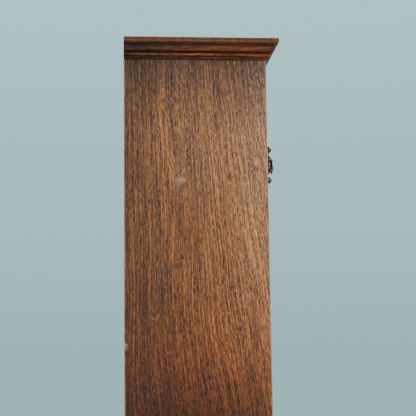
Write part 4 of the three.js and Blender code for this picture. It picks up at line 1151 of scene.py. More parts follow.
def numeralStrokes(text):
    tall = numeralSpec["head"] - numeralSpec["foot"]
    thick, thin = numeralSpec["thick"], numeralSpec["thin"]
    widths = {"I": thick + 0.0022, "V": 0.0102, "X": 0.0106}
    total = sum(widths[letter] for letter in text)
    cursor = -total / 2
    strokes = []
    for letter in text:
        wide = widths[letter]
        middle = cursor + wide / 2
        serif = numeralSpec["serif"]

        def slope(x0, x1, width):
            strokes.append([(x0 - width / 2, 0.0), (x0 + width / 2, 0.0), (x1 + width / 2, tall),
                            (x1 - width / 2, tall)])

        def cap(x, half, z):
            strokes.append([(x - half, z), (x + half, z), (x + half, z + serif), (x - half, z + serif)])

        if letter == "I":
            slope(middle, middle, thick)
            cap(middle, thick / 2 + 0.0008, 0.0)
            cap(middle, thick / 2 + 0.0008, tall - serif)
        elif letter == "V":
            slope(middle + 0.0004, middle - 0.0034, thick)
            slope(middle + 0.0004, middle + 0.0038, thin)
            cap(middle - 0.0034, thick / 2 + 0.0008, tall - serif)
            cap(middle + 0.0038, thin / 2 + 0.001, tall - serif)
        else:
            slope(middle + 0.0036, middle - 0.0036, thick)
            slope(middle - 0.0036, middle + 0.0036, thin)
            for x, half in ((0.0036, thick), (-0.0036, thin)):
                cap(middle + x, half / 2 + 0.0009, 0.0)
                cap(middle - x, half / 2 + 0.0009, tall - serif)
        cursor += wide
    return strokes


def addPlaced(bm, polygon, angle, face, rise, material):
    ca, sa = math.cos(angle), math.sin(angle)
    turned = []
    for x, z in polygon:
        reach = numeralSpec["foot"] + z
        x = x * reach / numeralSpec["head"]
        turned.append((x * ca + reach * sa, dialZ - x * sa + reach * ca))
    addFlat(bm, turned, face - rise, face + 0.0001, material)


def buildChapterRing():
    low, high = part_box("chapter_ring")
    face = low[1] + 0.0001
    bm = bmesh.new()
    profile = [(0.097, high[1]), (0.097, face + 0.0004), (0.0974, face), (0.1346, face),
               (0.135, face + 0.0004), (0.135, high[1]), (0.097, high[1])]
    addTurned(bm, profile, (0.0, 0.0, dialZ), "y", 144, 0)
    for radius, width in ((0.099, 0.0003), (0.1022, 0.0003), (0.1268, 0.0003), (0.1322, 0.0004)):
        line = [(radius, face + 0.0001), (radius, face - 0.00008), (radius + width, face - 0.00008),
                (radius + width, face + 0.0001), (radius, face + 0.0001)]
        addTurned(bm, line, (0.0, 0.0, dialZ), "y", 120, 1)
    marks = ((60, 0.1268, 0.1325, 0.0005), (48, 0.099, 0.1024, 0.0004), (12, 0.1272, 0.1322, 0.0016))
    for count, inner, outer, width in marks:
        source = bmesh.new()
        addBlock(source, (-width / 2, face - 0.00009, dialZ + inner),
                 (width / 2, face + 0.0001, dialZ + outer), 0.0, 1)
        addRing(bm, source, count, (0.0, 0.0, dialZ), blackWax, 1)
    source = bmesh.new()
    diamond = inMm([(0, 111), (1.1, 114.5), (0, 118), (-1.1, 114.5)], dialZ)
    addFlat(source, diamond, face - 0.00009, face + 0.0001)
    addRing(bm, source, 12, (0.0, 0.0, dialZ), blackWax, 1, first=math.pi / 12)
    for hour, text in enumerate(("XII", "I", "II", "III", "IIII", "V", "VI", "VII", "VIII", "IX", "X", "XI")):
        for stroke in numeralStrokes(text):
            addPlaced(bm, stroke, math.radians(30 * hour), face, 0.0001, 1)
    addPiece("chapter_ring_silvered", bm, [silvered, blackWax], "case", ["chapter_ring"])


buildDialPlate()
buildChapterRing()


# Pierced hands of blued steel, pointing to twelve.
handSpec = {"hourLength": 0.088, "minuteLength": 0.126}


def mirrorLoop(points):
    return points + [(-x, z) for x, z in reversed(points) if x > 1e-7]


def onDial(loops):
    return [[(x, dialZ + z) for x, z in loop] for loop in loops]


def buildHands():
    y0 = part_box("minute_hand")[0][1]
    length = handSpec["minuteLength"]
    half = inMm([(0, 5.4), (1.6, 5.8), (1.6, 12), (3, 14), (1.6, 16), (1.3, 28), (3, 31), (4.6, 35),
                 (4.6, 40), (2.6, 44.5), (1.3, 47), (1.1, 70), (0.9, 90), (0.7, 110),
                 (0.4, 122)]) + [(0.0, length)]
    bm = bmesh.new()
    heart = mirrorLoop(inMm([(0, 32.5), (1.6, 34), (2.9, 36.5), (2.8, 39.2), (1.4, 42), (0, 43.5)]))
    addPierced(bm, onDial([mirrorLoop(half), heart]), y0 + 0.0004, y0 + 0.0014)
    hub = inMm([(2.4, 0), (5, 0.1), (5.8, 0.6), (5.8, 1.3), (5.2, 1.5), (2.4, 1.5), (2.4, 0)], y0)
    addTurned(bm, hub, (0.0, 0.0, dialZ), "y", 36)
    addPiece("minute_hand_blued", bm, [blued], "centre_arbor", ["minute_hand"])

    front = dialY - 0.0085
    bm = bmesh.new()
    half = inMm([(0, 8), (2.2, 7.8), (2, 15), (4.2, 17.5), (2, 20), (1.8, 30), (4, 33), (7, 37), (9.4, 42),
                 (9.8, 47), (7.6, 51), (4.6, 52), (6.2, 55.5), (5, 59), (2.4, 61), (1.8, 68), (1.2, 78),
                 (0.6, 85)]) + [(0.0, handSpec["hourLength"])]
    lobe = inMm([(1.6, 37), (4.6, 39.2), (7, 43), (7, 46.5), (5, 48.5), (2, 47), (1.3, 42)])
    loops = [mirrorLoop(half), lobe, [(-x, z) for x, z in reversed(lobe)],
             mirrorLoop(inMm([(0, 53.5), (2.6, 56), (0, 58.5)]))]
    addPierced(bm, onDial(loops), front + 0.0002, front + 0.0014)
    hub = inMm([(4.3, -0.1), (7.8, 0), (8.8, 0.6), (8.8, 1.3), (8, 1.5), (4.3, 1.5), (4.3, -0.1)], front)
    addTurned(bm, hub, (0.0, 0.0, dialZ), "y", 40)
    low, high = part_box("hour_hand")
    wheelY = high[1] - 0.002
    pipe = [(0.0026, low[1]), (0.0042, low[1]), (0.0042, wheelY), (0.0068, wheelY), (0.0068, high[1]),
            (0.0026, high[1]), (0.0026, low[1])]
    addTurned(bm, pipe, (0.0, 0.0, dialZ), "y", 32, 1)
    addWheel(bm, (0.0, dialZ), wheelY, high[1], 72, high[0], 0.001, 4, brass, 0.004, 1)
    addPiece("hour_hand_blued", bm, [blued, brass], "hour_hand", ["hour_hand"])


buildHands()


# The movement: two plates with pillars, the wheel trains, and the barrels grooved for their lines.
print("movement")
movementSpec = {"pinionCore": 0.62, "plate": 0.003, "corner": 0.004}
arborPlaces = {joint["child"]: (joint["pos_m"][0], joint["pos_m"][2]) for joint in frame["joints"]
               if joint["type"] == "hinge"}
plateLow, plateHigh = boxOf("movement_front_plate")
frontPlateY, backPlateY = ((high - movementSpec["plate"], high) for high in (
    plateHigh.y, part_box("movement_back_plate")[1][1]))
pillarPlaces = [(sign * (plateHigh.x - 0.009), z) for sign in (-1, 1)
                for z in (plateHigh.z - 0.01, plateLow.z + 0.0117)]
pivotRadii = {"centre_arbor": (0.0024, 0.0024), "going_barrel": (0.0044, 0.0019),
              "strike_barrel": (0.0044, 0.0019), "third_wheel": (0.0019, 0.0019),
              "escape_wheel": (0.0019, 0.0019), "anchor": (0.0019, 0.0019), "hammer": (0.0019, 0.0019)}


def buildMovementPlates():
    for front, (y0, y1) in ((True, frontPlateY), (False, backPlateY)):
        face, out = (y0, -1) if front else (y1, 1)
        loops = [roundedLoop(plateLow.x, plateHigh.x, plateLow.z, plateHigh.z, movementSpec["corner"], 6)]
        for body, (frontHole, backHole) in pivotRadii.items():
            loops.append(circleLoop(*arborPlaces[body], frontHole if front else backHole, 20))
        piece = bmesh.new()
        addPierced(piece, loops, y0, y1, 0)
        rings = 0.0006
        for body, (frontHole, backHole) in pivotRadii.items():
            hole = frontHole if front else backHole
            x, z = arborPlaces[body]
            sink = [(hole + 0.0001, face - out * 0.0002), (hole + 0.0001, face + out * 0.00015),
                    (hole + rings, face + out * 0.00022), (hole + 2 * rings, face + out * 0.00015),
                    (hole + 2 * rings, face - out * 0.0002), (hole + 0.0001, face - out * 0.0002)]
            addTurned(piece, sink, (x, 0.0, z), "y", 24, 0)
        for x, z in pillarPlaces:
            if front:
                washer = [(0.0, face), (0.0055, face), (0.0055, face + out * 0.0008),
                          (0.0036, face + out * 0.001), (0.003, face + out * 0.0032),
                          (0.0022, face + out * 0.0038), (0.0, face + out * 0.004)]
            else:
                washer = [(0.0, face), (0.005, face), (0.0048, face + out * 0.0006),
                          (0.0, face + out * 0.0008)]
            addTurned(piece, washer, (x, 0.0, z), "y", 24, 0)
        if front:
            addArbor(piece, (0.0, dialZ - 0.03), plateLow.y, y0 + 0.001, 0.001, 1)
        else:
            for x, z in pillarPlaces:
                pillar = inMm([(0, 0.4), (5.2, 0.4), (5.2, 2), (3.4, 3), (3, 10), (3.4, 20), (4.6, 26),
                               (5, 30), (4.6, 34), (3.4, 40), (3, 50)], frontPlateY[1])
                pillar += inMm([(3.4, -3), (5.2, -2), (5.2, 0.5), (0, 0.5)], y0)
                addTurned(piece, pillar, (x, 0.0, z), "y", 24, 0)
        name = "movement_front_plate" if front else "movement_back_plate"
        addPiece(name + "_brass", piece, [brass, steel], "case", [name])


def addPinion(bm, centre, y0, y1, leaves, tip, material=1):
    core = tip * movementSpec["pinionCore"]
    addArbor(bm, centre, y0, y1, core + 0.0001, material, 24)
    addTeeth(bm, centre, y0 + 0.0002, y1 - 0.0002, leaves, core, tip, steel, material, 0.0, 0.62)


# A wheel is given by its two faces, its teeth, its radius to their tips, their depth and its spokes.
def buildWheelPiece(node, body, arborSpan, radius, wheel, pinion=None, extra=None, bore=0.0, lean=0.0):
    centre = arborPlaces[body]
    bm = bmesh.new()
    if arborSpan:
        addArbor(bm, centre, *arborSpan, radius, 1)
    addWheel(bm, centre, *wheel, brass, bore, 0, lean)
    if pinion:
        addPinion(bm, centre, *pinion)
    if extra:
        extra(bm, centre)
    addPiece(node + "_cut", bm, [brass, steel], body, [node])


def halfWidthOf(node):
    low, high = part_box(node)
    return (high[0] - low[0]) / 2


def buildTrain():
    rear = backPlateY[1]
    inFront = frontPlateY[0] + 0.0003
    greatLow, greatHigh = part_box("going_great_wheel")
    great = (greatLow[1], greatHigh[1])
    centreY = (backPlateY[0] - 0.007, backPlateY[0] - 0.005)
    thirdY = (frontPlateY[1] + 0.017, frontPlateY[1] + 0.019)
    escapeY = (backPlateY[0] - 0.018, backPlateY[0] - 0.016)
    cannonY = (frontPlateY[0] - 0.0035, frontPlateY[0] - 0.0015)

    def addCannon(bm, centre):
        addPierced(bm, [circleLoop(*centre, 0.01355, 72)], *cannonY, 0)
        addTeeth(bm, centre, cannonY[0] + 0.00004, cannonY[1] - 0.00004, 36, 0.01355, 0.01475, brass, 0)

    def addRatchetPlate(bm, centre):
        # five rivets on the face of the great wheel
        for i in range(5):
            angle = 2 * math.pi * (i + 0.5) / 5
            place = (centre[0] + 0.0085 * math.cos(angle), centre[1] + 0.0085 * math.sin(angle))
            addTurned(bm, inMm([(0, -0.4), (0.8, -0.3), (1.1, 0.1), (0, 0.1)], great[0]),
                      (place[0], 0.0, place[1]), "y", 12, 1)

    greatTip, centreTip, thirdTip = (
        halfWidthOf(node) for node in ("going_great_wheel", "centre_wheel", "third_wheel"))
    buildWheelPiece("going_great_wheel", "going_great_wheel", None, 0.0, (*great, 112, greatTip, 0.001, 5),
                    None, addRatchetPlate, 0.0044)
    buildWheelPiece("centre_wheel", "centre_arbor", (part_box("centre_wheel")[0][1], rear), 0.002,
                    (*centreY, 64, centreTip, 0.0012, 4), (great[0] - 0.0015, great[1] + 0.0015, 7, 0.00218),
                    addCannon)
    buildWheelPiece("third_wheel", "third_wheel", (inFront, rear), 0.0015, (*thirdY, 60, thirdTip, 0.0012, 4),
                    (centreY[0] - 0.0015, centreY[1] + 0.0015, 8, 0.00295))
    buildWheelPiece("escape_wheel", "escape_wheel", (inFront, rear), 0.0015, (*escapeY, 30, 0.018, 0.0026, 4),
                    (thirdY[0] - 0.0015, thirdY[1] + 0.0015, 8, 0.00295), lean=0.0007)
    strikeLow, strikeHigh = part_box("strike_great_wheel")
    buildWheelPiece("strike_great_wheel", "strike_great_wheel", None, 0.0,
                    (strikeLow[1], strikeHigh[1], 84, 0.03, 0.0012, 5), bore=0.0044)
    # the minute wheel turns on a stud, and its small pinion drives the hour wheel
    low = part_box("minute_wheel")[0]
    centre = arborPlaces["minute_wheel"]
    bm = bmesh.new()
    addPierced(bm, [circleLoop(*centre, 0.01355, 72), circleLoop(*centre, 0.00135, 16)], *cannonY, 0)
    addTeeth(bm, centre, cannonY[0] + 0.00004, cannonY[1] - 0.00004, 36, 0.01355, 0.01475, brass, 0)
    sleeve = [(0.00135, low[1]), (0.00165, low[1]), (0.00165, cannonY[0] + 0.0002),
              (0.00135, cannonY[0] + 0.0002), (0.00135, low[1])]
    addTurned(bm, sleeve, (centre[0], 0.0, centre[1]), "y", 20, 0)
    addTeeth(bm, centre, low[1] + 0.0001, cannonY[0] + 0.0001, 6, 0.00165, 0.00212, brass, 0, 0.0, 0.6)
    addPiece("minute_wheel_cut", bm, [brass], "minute_wheel", ["minute_wheel"])


# A barrel: grooved for its line, with two flanges, a steel arbor in front and a square for the winding key.
def buildBarrel(node):
    x, z = arborPlaces[node]
    low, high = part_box(node)
    y0 = frontPlateY[1] + 0.012
    y1 = y0 + 0.035
    bm = bmesh.new()
    drum = inMm([(0, 0), (17.6, 0), (18, 0.4), (18, 1.6), (17.6, 2), (12.8, 2.1)], y0)
    grooves = 15
    for i in range(grooves):
        start = y0 + 0.0022 + i * (0.0306 / grooves)
        drum += inMm([(12.9, 0.2), (12.2, 0.7), (12.2, 1.2), (12.9, 1.8)], start)
    drum += inMm([(12.8, -2.1), (17.6, -2), (18, -1.6), (18, -0.4), (17.6, 0), (0, 0)], y1)
    addTurned(bm, drum, (x, 0.0, z), "y", 48, 0)
    addArbor(bm, (x, z), y1 - 0.001, high[1], 0.0015, 1)
    addArbor(bm, (x, z), frontPlateY[0] - 0.004, y0 + 0.001, 0.004, 1, 28)
    square = 0.00275
    addBlock(bm, (x - square, low[1], z - square), (x + square, frontPlateY[0] - 0.0038, z + square), 0.0004,
             1, 1)
    addPiece(node + "_turned", bm, [brass, steel], node, [node])


def buildAnchor():
    x, z = arborPlaces["anchor"]
    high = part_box("anchor")[1]
    y0 = backPlateY[0] - 0.0185
    y1 = y0 + 0.003
    bm = bmesh.new()
    outline = inMm([(0, 5.2), (3.4, 4.4), (6.6, 1.2), (11.8, -5.2), (17, -9.6), (17.1, -11.2), (16.6, -13.7),
                    (13.9, -12.3), (11.8, -9.2), (8, -5.8), (3.4, -3.2)])
    whole = outline + [(0.0, -0.0036)] + [(-a, b) for a, b in reversed(outline[1:])]
    addPierced(bm, [[(x + a, z + b) for a, b in whole]], y0, y1, 0)
    addArbor(bm, (x, z), frontPlateY[0] + 0.0003, high[1] - 0.015, 0.0015, 0)
    collet = [(0.0, y0 - 0.002), (0.0034, y0 - 0.002), (0.0038, y0 - 0.001), (0.0038, y1 + 0.001),
              (0.0034, y1 + 0.002), (0.0, y1 + 0.002)]
    addTurned(bm, collet, (x, 0.0, z), "y", 24, 1)
    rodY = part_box("pendulum_rod")
    planeY = (rodY[0][1] + rodY[1][1]) / 2
    crutch = (planeY - 0.012, planeY - 0.01)
    addTurned(bm, [(0.0, crutch[0]), (0.0024, crutch[0]), (0.0024, crutch[1]), (0.0, crutch[1])], (x, 0.0, z),
              "y", 24, 1)
    stem = inMm([(-2.4, 0), (-1.6, -12), (-1.3, -50), (-1.6, -88), (-2.4, -97.5), (2.4, -97.5), (1.6, -88),
                 (1.3, -50), (1.6, -12), (2.4, 0)])
    addFlat(bm, [(x + a, z + b) for a, b in stem], crutch[0], crutch[1], 0, 0.0003)
    prong = 0.004
    bar = [(-prong - 0.0016, -0.097), (-prong - 0.0016, -0.1022), (-prong - 0.0006, -0.103),
           (prong + 0.0006, -0.103), (prong + 0.0016, -0.1022), (prong + 0.0016, -0.097)]
    addFlat(bm, [(x + a, z + b) for a, b in bar], crutch[0], crutch[1], 0, 0.0002)
    for sign in (-1, 1):
        ends = sorted((sign * prong, sign * (prong + 0.0016)))
        addBlock(bm, (x + ends[0], crutch[1] - 0.001, z - 0.103), (x + ends[1], high[1], z - 0.097), 0.0003,
                 2, 0)
    addPiece("anchor_forged", bm, [steel, brass], "anchor", ["anchor"])


def buildBackCock():
    low, high = boxOf("back_cock")
    pivotZ = arborPlaces["anchor"][1]
    under = pivotZ + 0.0095
    foot = [(-0.022, low.z), (-0.006, low.z),
            (-0.006, pivotZ + 0.003)] + arc((0.0, pivotZ + 0.003), 0.006, 180, 0, 9)
    foot += [(0.006, low.z), (0.022, low.z), (0.022, under - 0.004)]
    for x, start in ((0.013, 0), (-0.013, 90)):
        foot += arc((x, under - 0.004), 0.009, start, start + 90, 6)
    bm = bmesh.new()
    addPierced(bm, [[(a, min(b, high.z)) for a, b in foot]], low.y, low.y + 0.003, 0)
    planeY = (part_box("pendulum_rod")[0][1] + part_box("pendulum_rod")[1][1]) / 2
    for sign in (-1, 1):
        ends = sorted((sign * 0.0012, sign * 0.007))
        addBlock(bm, (ends[0], low.y + 0.001, under + 0.0001), (ends[1], high.y, high.z), 0.0008, 2, 0)
    addBlock(bm, (-0.0022, low.y + 0.001, under + 0.0001), (0.0022, planeY - 0.006, high.z - 0.0002), 0.0003,
             1, 0)
    addTurned(bm, inMm([(0, -7.8), (1.2, -7.8), (1.4, -7.4), (1.4, 7.4), (1.2, 7.8), (0, 7.8)]),
              (0.0, planeY, under + 0.0027), "x", 16, 1)
    addScrews(bm, [(sign * 0.0155, low.y + 0.0031, pivotZ - 0.006) for sign in (-1, 1)], (0.0, 1.0, 0.0),
              0.003, steel, 1, 9)
    addPiece("back_cock_brass", bm, [brass, steel], "case", ["back_cock"])


buildMovementPlates()
buildTrain()
for node in ("going_barrel", "strike_barrel"):
    buildBarrel(node)
buildAnchor()
buildBackCock()


# The pendulum: a lens-shaped bob of brass on a steel rod, with a spring at its head and a knurled nut below.
print("pendulum and weights")
pendulumSpec = {"rim": 0.0016, "knurls": 40}


def buildPendulum():
    low, high = boxOf("pendulum_rod")
    planeY = (low.y + high.y) / 2
    pivotZ = arborPlaces["pendulum"][1]
    bm = bmesh.new()
    rod = inMm([(0, 0), (2.2, 0), (2.6, 0.6)], low.z)
    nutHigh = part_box("rating_nut")[1]
    threads = int((nutHigh[2] + 0.01 - low.z - 0.001) / 0.0012)
    for i in range(threads):
        start = low.z + 0.001 + 0.0012 * i
        rod += inMm([(3, 0.2), (3, 0.4), (2.5, 0.8), (2.5, 1)], start)
    rod += [(0.003, rod[-1][1] + 0.002), (0.003, pivotZ - 0.0205), (0.0, pivotZ - 0.0205)]
    addTurned(bm, rod, (0.0, planeY, 0.0), "z", 24, 0)
    addBlock(bm, (-0.005, planeY - 0.003, pivotZ - 0.024), (0.005, planeY + 0.003, pivotZ - 0.012), 0.0008, 2,
             1)
    addBlock(bm, (-0.004, planeY - 0.0003, pivotZ - 0.013), (0.004, planeY + 0.0003, high.z), 0.0, 1, 0)
    addBlock(bm, (-0.0044, planeY - 0.0008, high.z - 0.0035), (0.0044, planeY + 0.0008, high.z), 0.0003, 1, 1)
    addScrews(bm, [(-0.0028, planeY - 0.0031, pivotZ - 0.018), (0.0028, planeY - 0.0031, pivotZ - 0.018)],
              (0.0, -1.0, 0.0), 0.0013, steel, 0, 2)
    addPiece("pendulum_rod_steel", bm, [steel, brass], "pendulum", ["pendulum_rod"])

    low, high = boxOf("pendulum_bob")
    centre = (0.0, (low.y + high.y) / 2, (low.z + high.z) / 2)
    radius = (high.x - low.x) / 2
    thick = (high.y - low.y) / 2
    rim = pendulumSpec["rim"]
    lens = [(0.0, -thick)]
    lens += [(radius * 0.94 * i / 18, -thick * (1 - (i / 18) ** 2.1 * 0.82)) for i in range(1, 19)]
    lens += [(radius * 0.955, -thick * 0.17), (radius * 0.965, -thick * 0.2), (radius * 0.985, -rim * 1.5),
             (radius, -rim * 0.7)]
    lens += [(r, -y) for r, y in reversed(lens)]
    bm = bmesh.new()
    addTurned(bm, lens, centre, "y", 96, 0)
    for face in (-1, 1):
        for reach in (0.3, 0.62):
            at = radius * reach
            level = face * thick * (1 - (reach / 0.94) ** 2.1 * 0.82)
            ring = [(at, level - face * 0.0004), (at, level + face * 0.0002),
                    (at + 0.0009, level + face * 0.0001), (at + 0.0009, level - face * 0.0006),
                    (at, level - face * 0.0004)]
            addTurned(bm, ring, centre, "y", 72, 0)
    for end, sign in ((high.z, 1), (low.z, -1)):
        sleeve = [(0.0036, end - sign * 0.006), (0.0048, end - sign * 0.006), (0.0048, end), (0.0036, end),
                  (0.0036, end - sign * 0.006)]
        addTurned(bm, sleeve, (0.0, centre[1], 0.0), "z", 24, 0)
    addPiece("pendulum_bob_brass", bm, [brass], "pendulum", ["pendulum_bob"])

    low, high = boxOf("rating_nut")
    centre = (0.0, (low.y + high.y) / 2)
    radius = high.x - 0.0004
    bm = bmesh.new()
    nut = [(0.0035, low.z), (radius - 0.0018, low.z), (radius, low.z + 0.0012), (radius, high.z - 0.0012),
           (radius - 0.0018, high.z), (0.0052, high.z), (0.0052, high.z - 0.0005), (0.0035, high.z - 0.0005),
           (0.0035, low.z)]
    addTurned(bm, nut, (*centre, 0.0), "z", 48, 0)
    source = bmesh.new()
    addBlock(source, (radius - 0.0002, centre[1] - 0.00035, low.z + 0.0014),
             (radius + 0.0003, centre[1] + 0.00035, high.z - 0.0014), 0.0001, 1)
    addRing(bm, source, pendulumSpec["knurls"], (*centre, 0.0), brass, 0, (0.0, 0.0, 1.0))
    addPiece("rating_nut_knurled", bm, [brass], "pendulum", ["rating_nut"])


# Each weight is a brass shell with ringed caps and a steel hook, and hangs on a twisted cord.
weightSpec = {"strand": 0.00042, "lay": 0.00033, "pitch": 0.008, "keep": 0.1258}


def buildWeight(side):
    low, high = boxOf(side + "_weight")
    x, y = (low.x + high.x) / 2, (low.y + high.y) / 2
    radius = (high.x - low.x) / 2
    shoulder = high.z - 0.018
    shell = [(0.0, low.z), (radius - 0.006, low.z), (radius - 0.002, low.z + 0.0004), (radius, low.z + 0.002),
             (radius, low.z + 0.009), (radius - 0.0008, low.z + 0.0096), (radius - 0.0008, low.z + 0.0104),
             (radius - 0.0004, low.z + 0.011), (radius - 0.0004, shoulder - 0.013),
             (radius - 0.0008, shoulder - 0.0124), (radius - 0.0008, shoulder - 0.0116),
             (radius, shoulder - 0.011), (radius, shoulder - 0.003), (radius - 0.002, shoulder - 0.0006),
             (radius - 0.006, shoulder), (0.0075, shoulder), (0.0066, shoulder + 0.0006),
             (0.005, shoulder + 0.0022), (0.004, shoulder + 0.0042), (0.003, shoulder + 0.0052),
             (0.0, shoulder + 0.0054)]
    bm = bmesh.new()
    addTurned(bm, shell, (x, y, 0.0), "z", 64, 0)
    hook = []
    for i in range(19):
        angle = math.radians(-90 + 340 * i / 18)
        hook.append(Vector((x + 0.0042 * math.cos(angle), y, high.z - 0.0062 + 0.0042 * math.sin(angle))))
    hook.insert(0, Vector((x, y, shoulder + 0.004)))
    addTube(bm, hook, [0.0013] * len(hook), 10, 1, (0, 1, 0))
    addPiece(side + "_weight_brass", bm, [brass, steel], side + "_weight", [side + "_weight"])

    low, high = boxOf(side + "_line")
    x, y = (low.x + high.x) / 2, (low.y + high.y) / 2
    bm = bmesh.new()
    addFromTree(bm, bmesh.new(), strandTree, {
        "Strands": 3, "Pitch": weightSpec["pitch"], "Strand Radius": weightSpec["strand"],
        "Lay Radius": weightSpec["lay"], "Length": high.z - low.z - 0.0004, "Start": (x, y, low.z + 0.0002),
        "Finish": lineCord})
    line = addPiece(side + "_line_twisted", bm, [lineCord], "case", [side + "_line"], 60.0)
    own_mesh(line)


lineCord = metalFinish("gutLine", (0.3, 0.21, 0.11), (0.13, 0.085, 0.045), 0.6, 500.0, 0.5, 0.4, 0.0)
buildPendulum()
for side in ("going", "strike"):
    buildWeight(side)


# The strike: a hammer with a brass head on a steel arm, and a rod gong on its iron block.
print("strike and carcase")
strikeSpec = {"arm": 0.004, "armLength": 0.18}


def buildHammer():
    x, z = arborPlaces["hammer"]
    low = boxOf("hammer")[0]
    gongY = (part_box("gong_rod")[0][1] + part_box("gong_rod")[1][1]) / 2
    headZ = z - strikeSpec["armLength"]
    bm = bmesh.new()
    addArbor(bm, (x, z), low.y, gongY + 0.002, 0.0015, 0)
    for y in (frontPlateY[1] + 0.004, backPlateY[0] - 0.006, gongY - 0.006):
        addTurned(bm, inMm([(0, 0), (3, 0), (3.4, 0.6), (3.4, 3), (3, 3.6), (0, 3.6)], y),
                  (x, 0.0, z), "y", 20, 1)
    half = strikeSpec["arm"] / 2
    stem = [(-half, 0.0018), (-half * 0.62, -0.02), (-half * 0.5, -0.1), (-half * 0.7, -0.172),
            (-half, -0.18), (half, -0.18), (half * 0.7, -0.172), (half * 0.5, -0.1), (half * 0.62, -0.02),
            (half, 0.0018)]
    addFlat(bm, [(x + a, z + b) for a, b in stem], gongY - 0.0019, gongY + 0.0019, 0, 0.0004)
    radius = 0.0069
    head = [(0.0, -0.012), (radius - 0.0012, -0.012), (radius - 0.0002, -0.0112), (radius - 0.0002, -0.0075),
            (radius - 0.001, -0.007), (radius - 0.001, -0.006), (radius, -0.0054), (radius, 0.0104),
            (radius - 0.0014, 0.012), (0.0, 0.012)]
    addTurned(bm, head, (x, gongY, headZ), "x", 32, 1)
    addPiece("hammer_forged", bm, [steel, brass], "hammer", ["hammer"])


def buildGong():
    low, high = boxOf("gong_rod")
    x, y = (low.x + high.x) / 2, (low.y + high.y) / 2
    radius = (high.x - low.x) / 2
    bm = bmesh.new()
    rod = [(0.0, low.z), (radius - 0.0006, low.z), (radius, low.z + 0.0006), (radius, high.z - 0.016),
           (radius - 0.0008, high.z - 0.013), (radius - 0.0012, high.z - 0.006), (radius, high.z - 0.003),
           (radius, high.z), (0.0, high.z)]
    addTurned(bm, rod, (x, y, 0.0), "z", 24, 0)
    addPiece("gong_rod_bronze", bm, [brass], "case", ["gong_rod"])
    low, high = boxOf("gong_block")
    bm = bmesh.new()
    addBlock(bm, low, high, 0.0022, 3, 0)
    addTurned(bm, inMm([(4.6, 0.8), (5.2, 0.6), (5.6, 0.2), (5.6, 3), (4.6, 3), (4.6, 0.8)], low.z),
              (x, y, 0.0), "z", 24, 1)
    screws = [(end, low.y - 0.0001, high.z - 0.0065) for end in (low.x + 0.0065, high.x - 0.0065)]
    addScrews(bm, screws, (0.0, -1.0, 0.0), 0.0032, steel, 1, 6)
    addPiece("gong_block_iron", bm, [castIron, steel], "case", ["gong_block"])


castIron = metalFinish("castIron", (0.06, 0.056, 0.052), (0.11, 0.055, 0.03), 0.5, 220.0, 0.55, 0.6, 0.6)
buildHammer()
buildGong()


# The back of the case: upright planks, nailed along their edges and to the bottom board.
backSpec = {"planks": 4, "gap": 0.0008, "nailPitch": 0.155, "nailInset": 0.03, "nail": 0.0028}


def buildBackBoard():
    low, high = boxOf("back_board")
    width = (high.x - low.x) / backSpec["planks"]
    bm = bmesh.new()
    finishes = []
    for i in range(backSpec["planks"]):
        trim = backSpec["gap"] / 2
        a = low.x + i * width + (trim if i else 0.0)
        b = low.x + (i + 1) * width - (trim if i < backSpec["planks"] - 1 else 0.0)
        addBlock(bm, (a, low.y, low.z), (b, high.y - 0.0003, high.z), 0.0007, 1, i)
        if i < backSpec["planks"] - 1:
            addBlock(bm, (b - 0.002, low.y + 0.0024, low.z + 0.001),
                     (b + 0.003, high.y - 0.0028, high.z - 0.001), 0.0, 1, i)
        finishes.append(oakFinish(f"backPlank{i + 1}", (a, low.y, low.z), (b, high.y, high.z), "zFront",
                                  "inside", 0.015, 0.35, 9.0 + 2.7 * i, 0.002, (0.24, 0.16, 0.09)))
    nails = []
    nailed = high.z - low.z - 2 * backSpec["nailInset"]
    rows = int(nailed / backSpec["nailPitch"])
    rng = random.Random(17)
    for row in range(rows + 1):
        z = low.z + backSpec["nailInset"] + row * nailed / rows
        for x in (low.x + 0.006, high.x - 0.006):
            nails.append((x + rng.uniform(-0.001, 0.001), high.y - 0.001, z + rng.uniform(-0.004, 0.004)))
    for i in range(backSpec["planks"]):
        for share in (0.25, 0.75):
            nails.append((low.x + (i + share) * width, high.y - 0.001, low.z + 0.009))
    addScrews(bm, nails, (0.0, 1.0, 0.0), backSpec["nail"], castIron, backSpec["planks"], 12)
    addPiece("back_board_planks", bm, finishes + [castIron], "case", ["back_board"])


# The movement's seat: a board with a slot for each line, on a bearer at either side.
seatSpec = {"slot": 0.018, "corner": 0.003}


def buildSeat():
    low, high = boxOf("seat_board")
    loops = [[(low.x, low.y), (high.x, low.y), (high.x, high.y), (low.x, high.y)]]
    half, corner = seatSpec["slot"] / 2, seatSpec["corner"]
    for side in ("going", "strike"):
        x, y, _ = (boxOf(side + "_line")[0] + boxOf(side + "_line")[1]) / 2
        loops.append(roundedLoop(x - half, x + half, y - half, y + half, corner, 5))
    flat = bmesh.new()
    addPierced(flat, loops, low.z, high.z, 0)
    for vert in flat.verts:
        vert.co = Vector((vert.co.x, vert.co.z, vert.co.y))
    finish = oakFinish("seatOak", low, high, "x", "inside", 0.01, 0.3, 14.0, 0.0016, (0.3, 0.2, 0.12))
    addPiece("seat_board_oak", flat, [finish], "case", ["seat_board"])
    for side in ("left", "right"):
        node = f"seat_bearer_{side}"
        low, high = boxOf(node)
        bm = bmesh.new()
        addBlock(bm, low, high, 0.0012, 2, 0)
        inner = low.x - 0.0001 if side == "right" else high.x + 0.0001
        screws = [(inner, y, (low.z + high.z) / 2) for y in (low.y + 0.012, high.y - 0.012)]
        addScrews(bm, screws, (-1.0 if side == "right" else 1.0, 0.0, 0.0), 0.0034, steel, 1, 8)
        finish = oakFinish(f"{side}BearerOak", low, high, "y", "inside", 0.01, 0.3, 15.0, 0.0018,
                           (0.3, 0.2, 0.12))
        addPiece(node + "_oak", bm, [finish, steel], "case", [node])


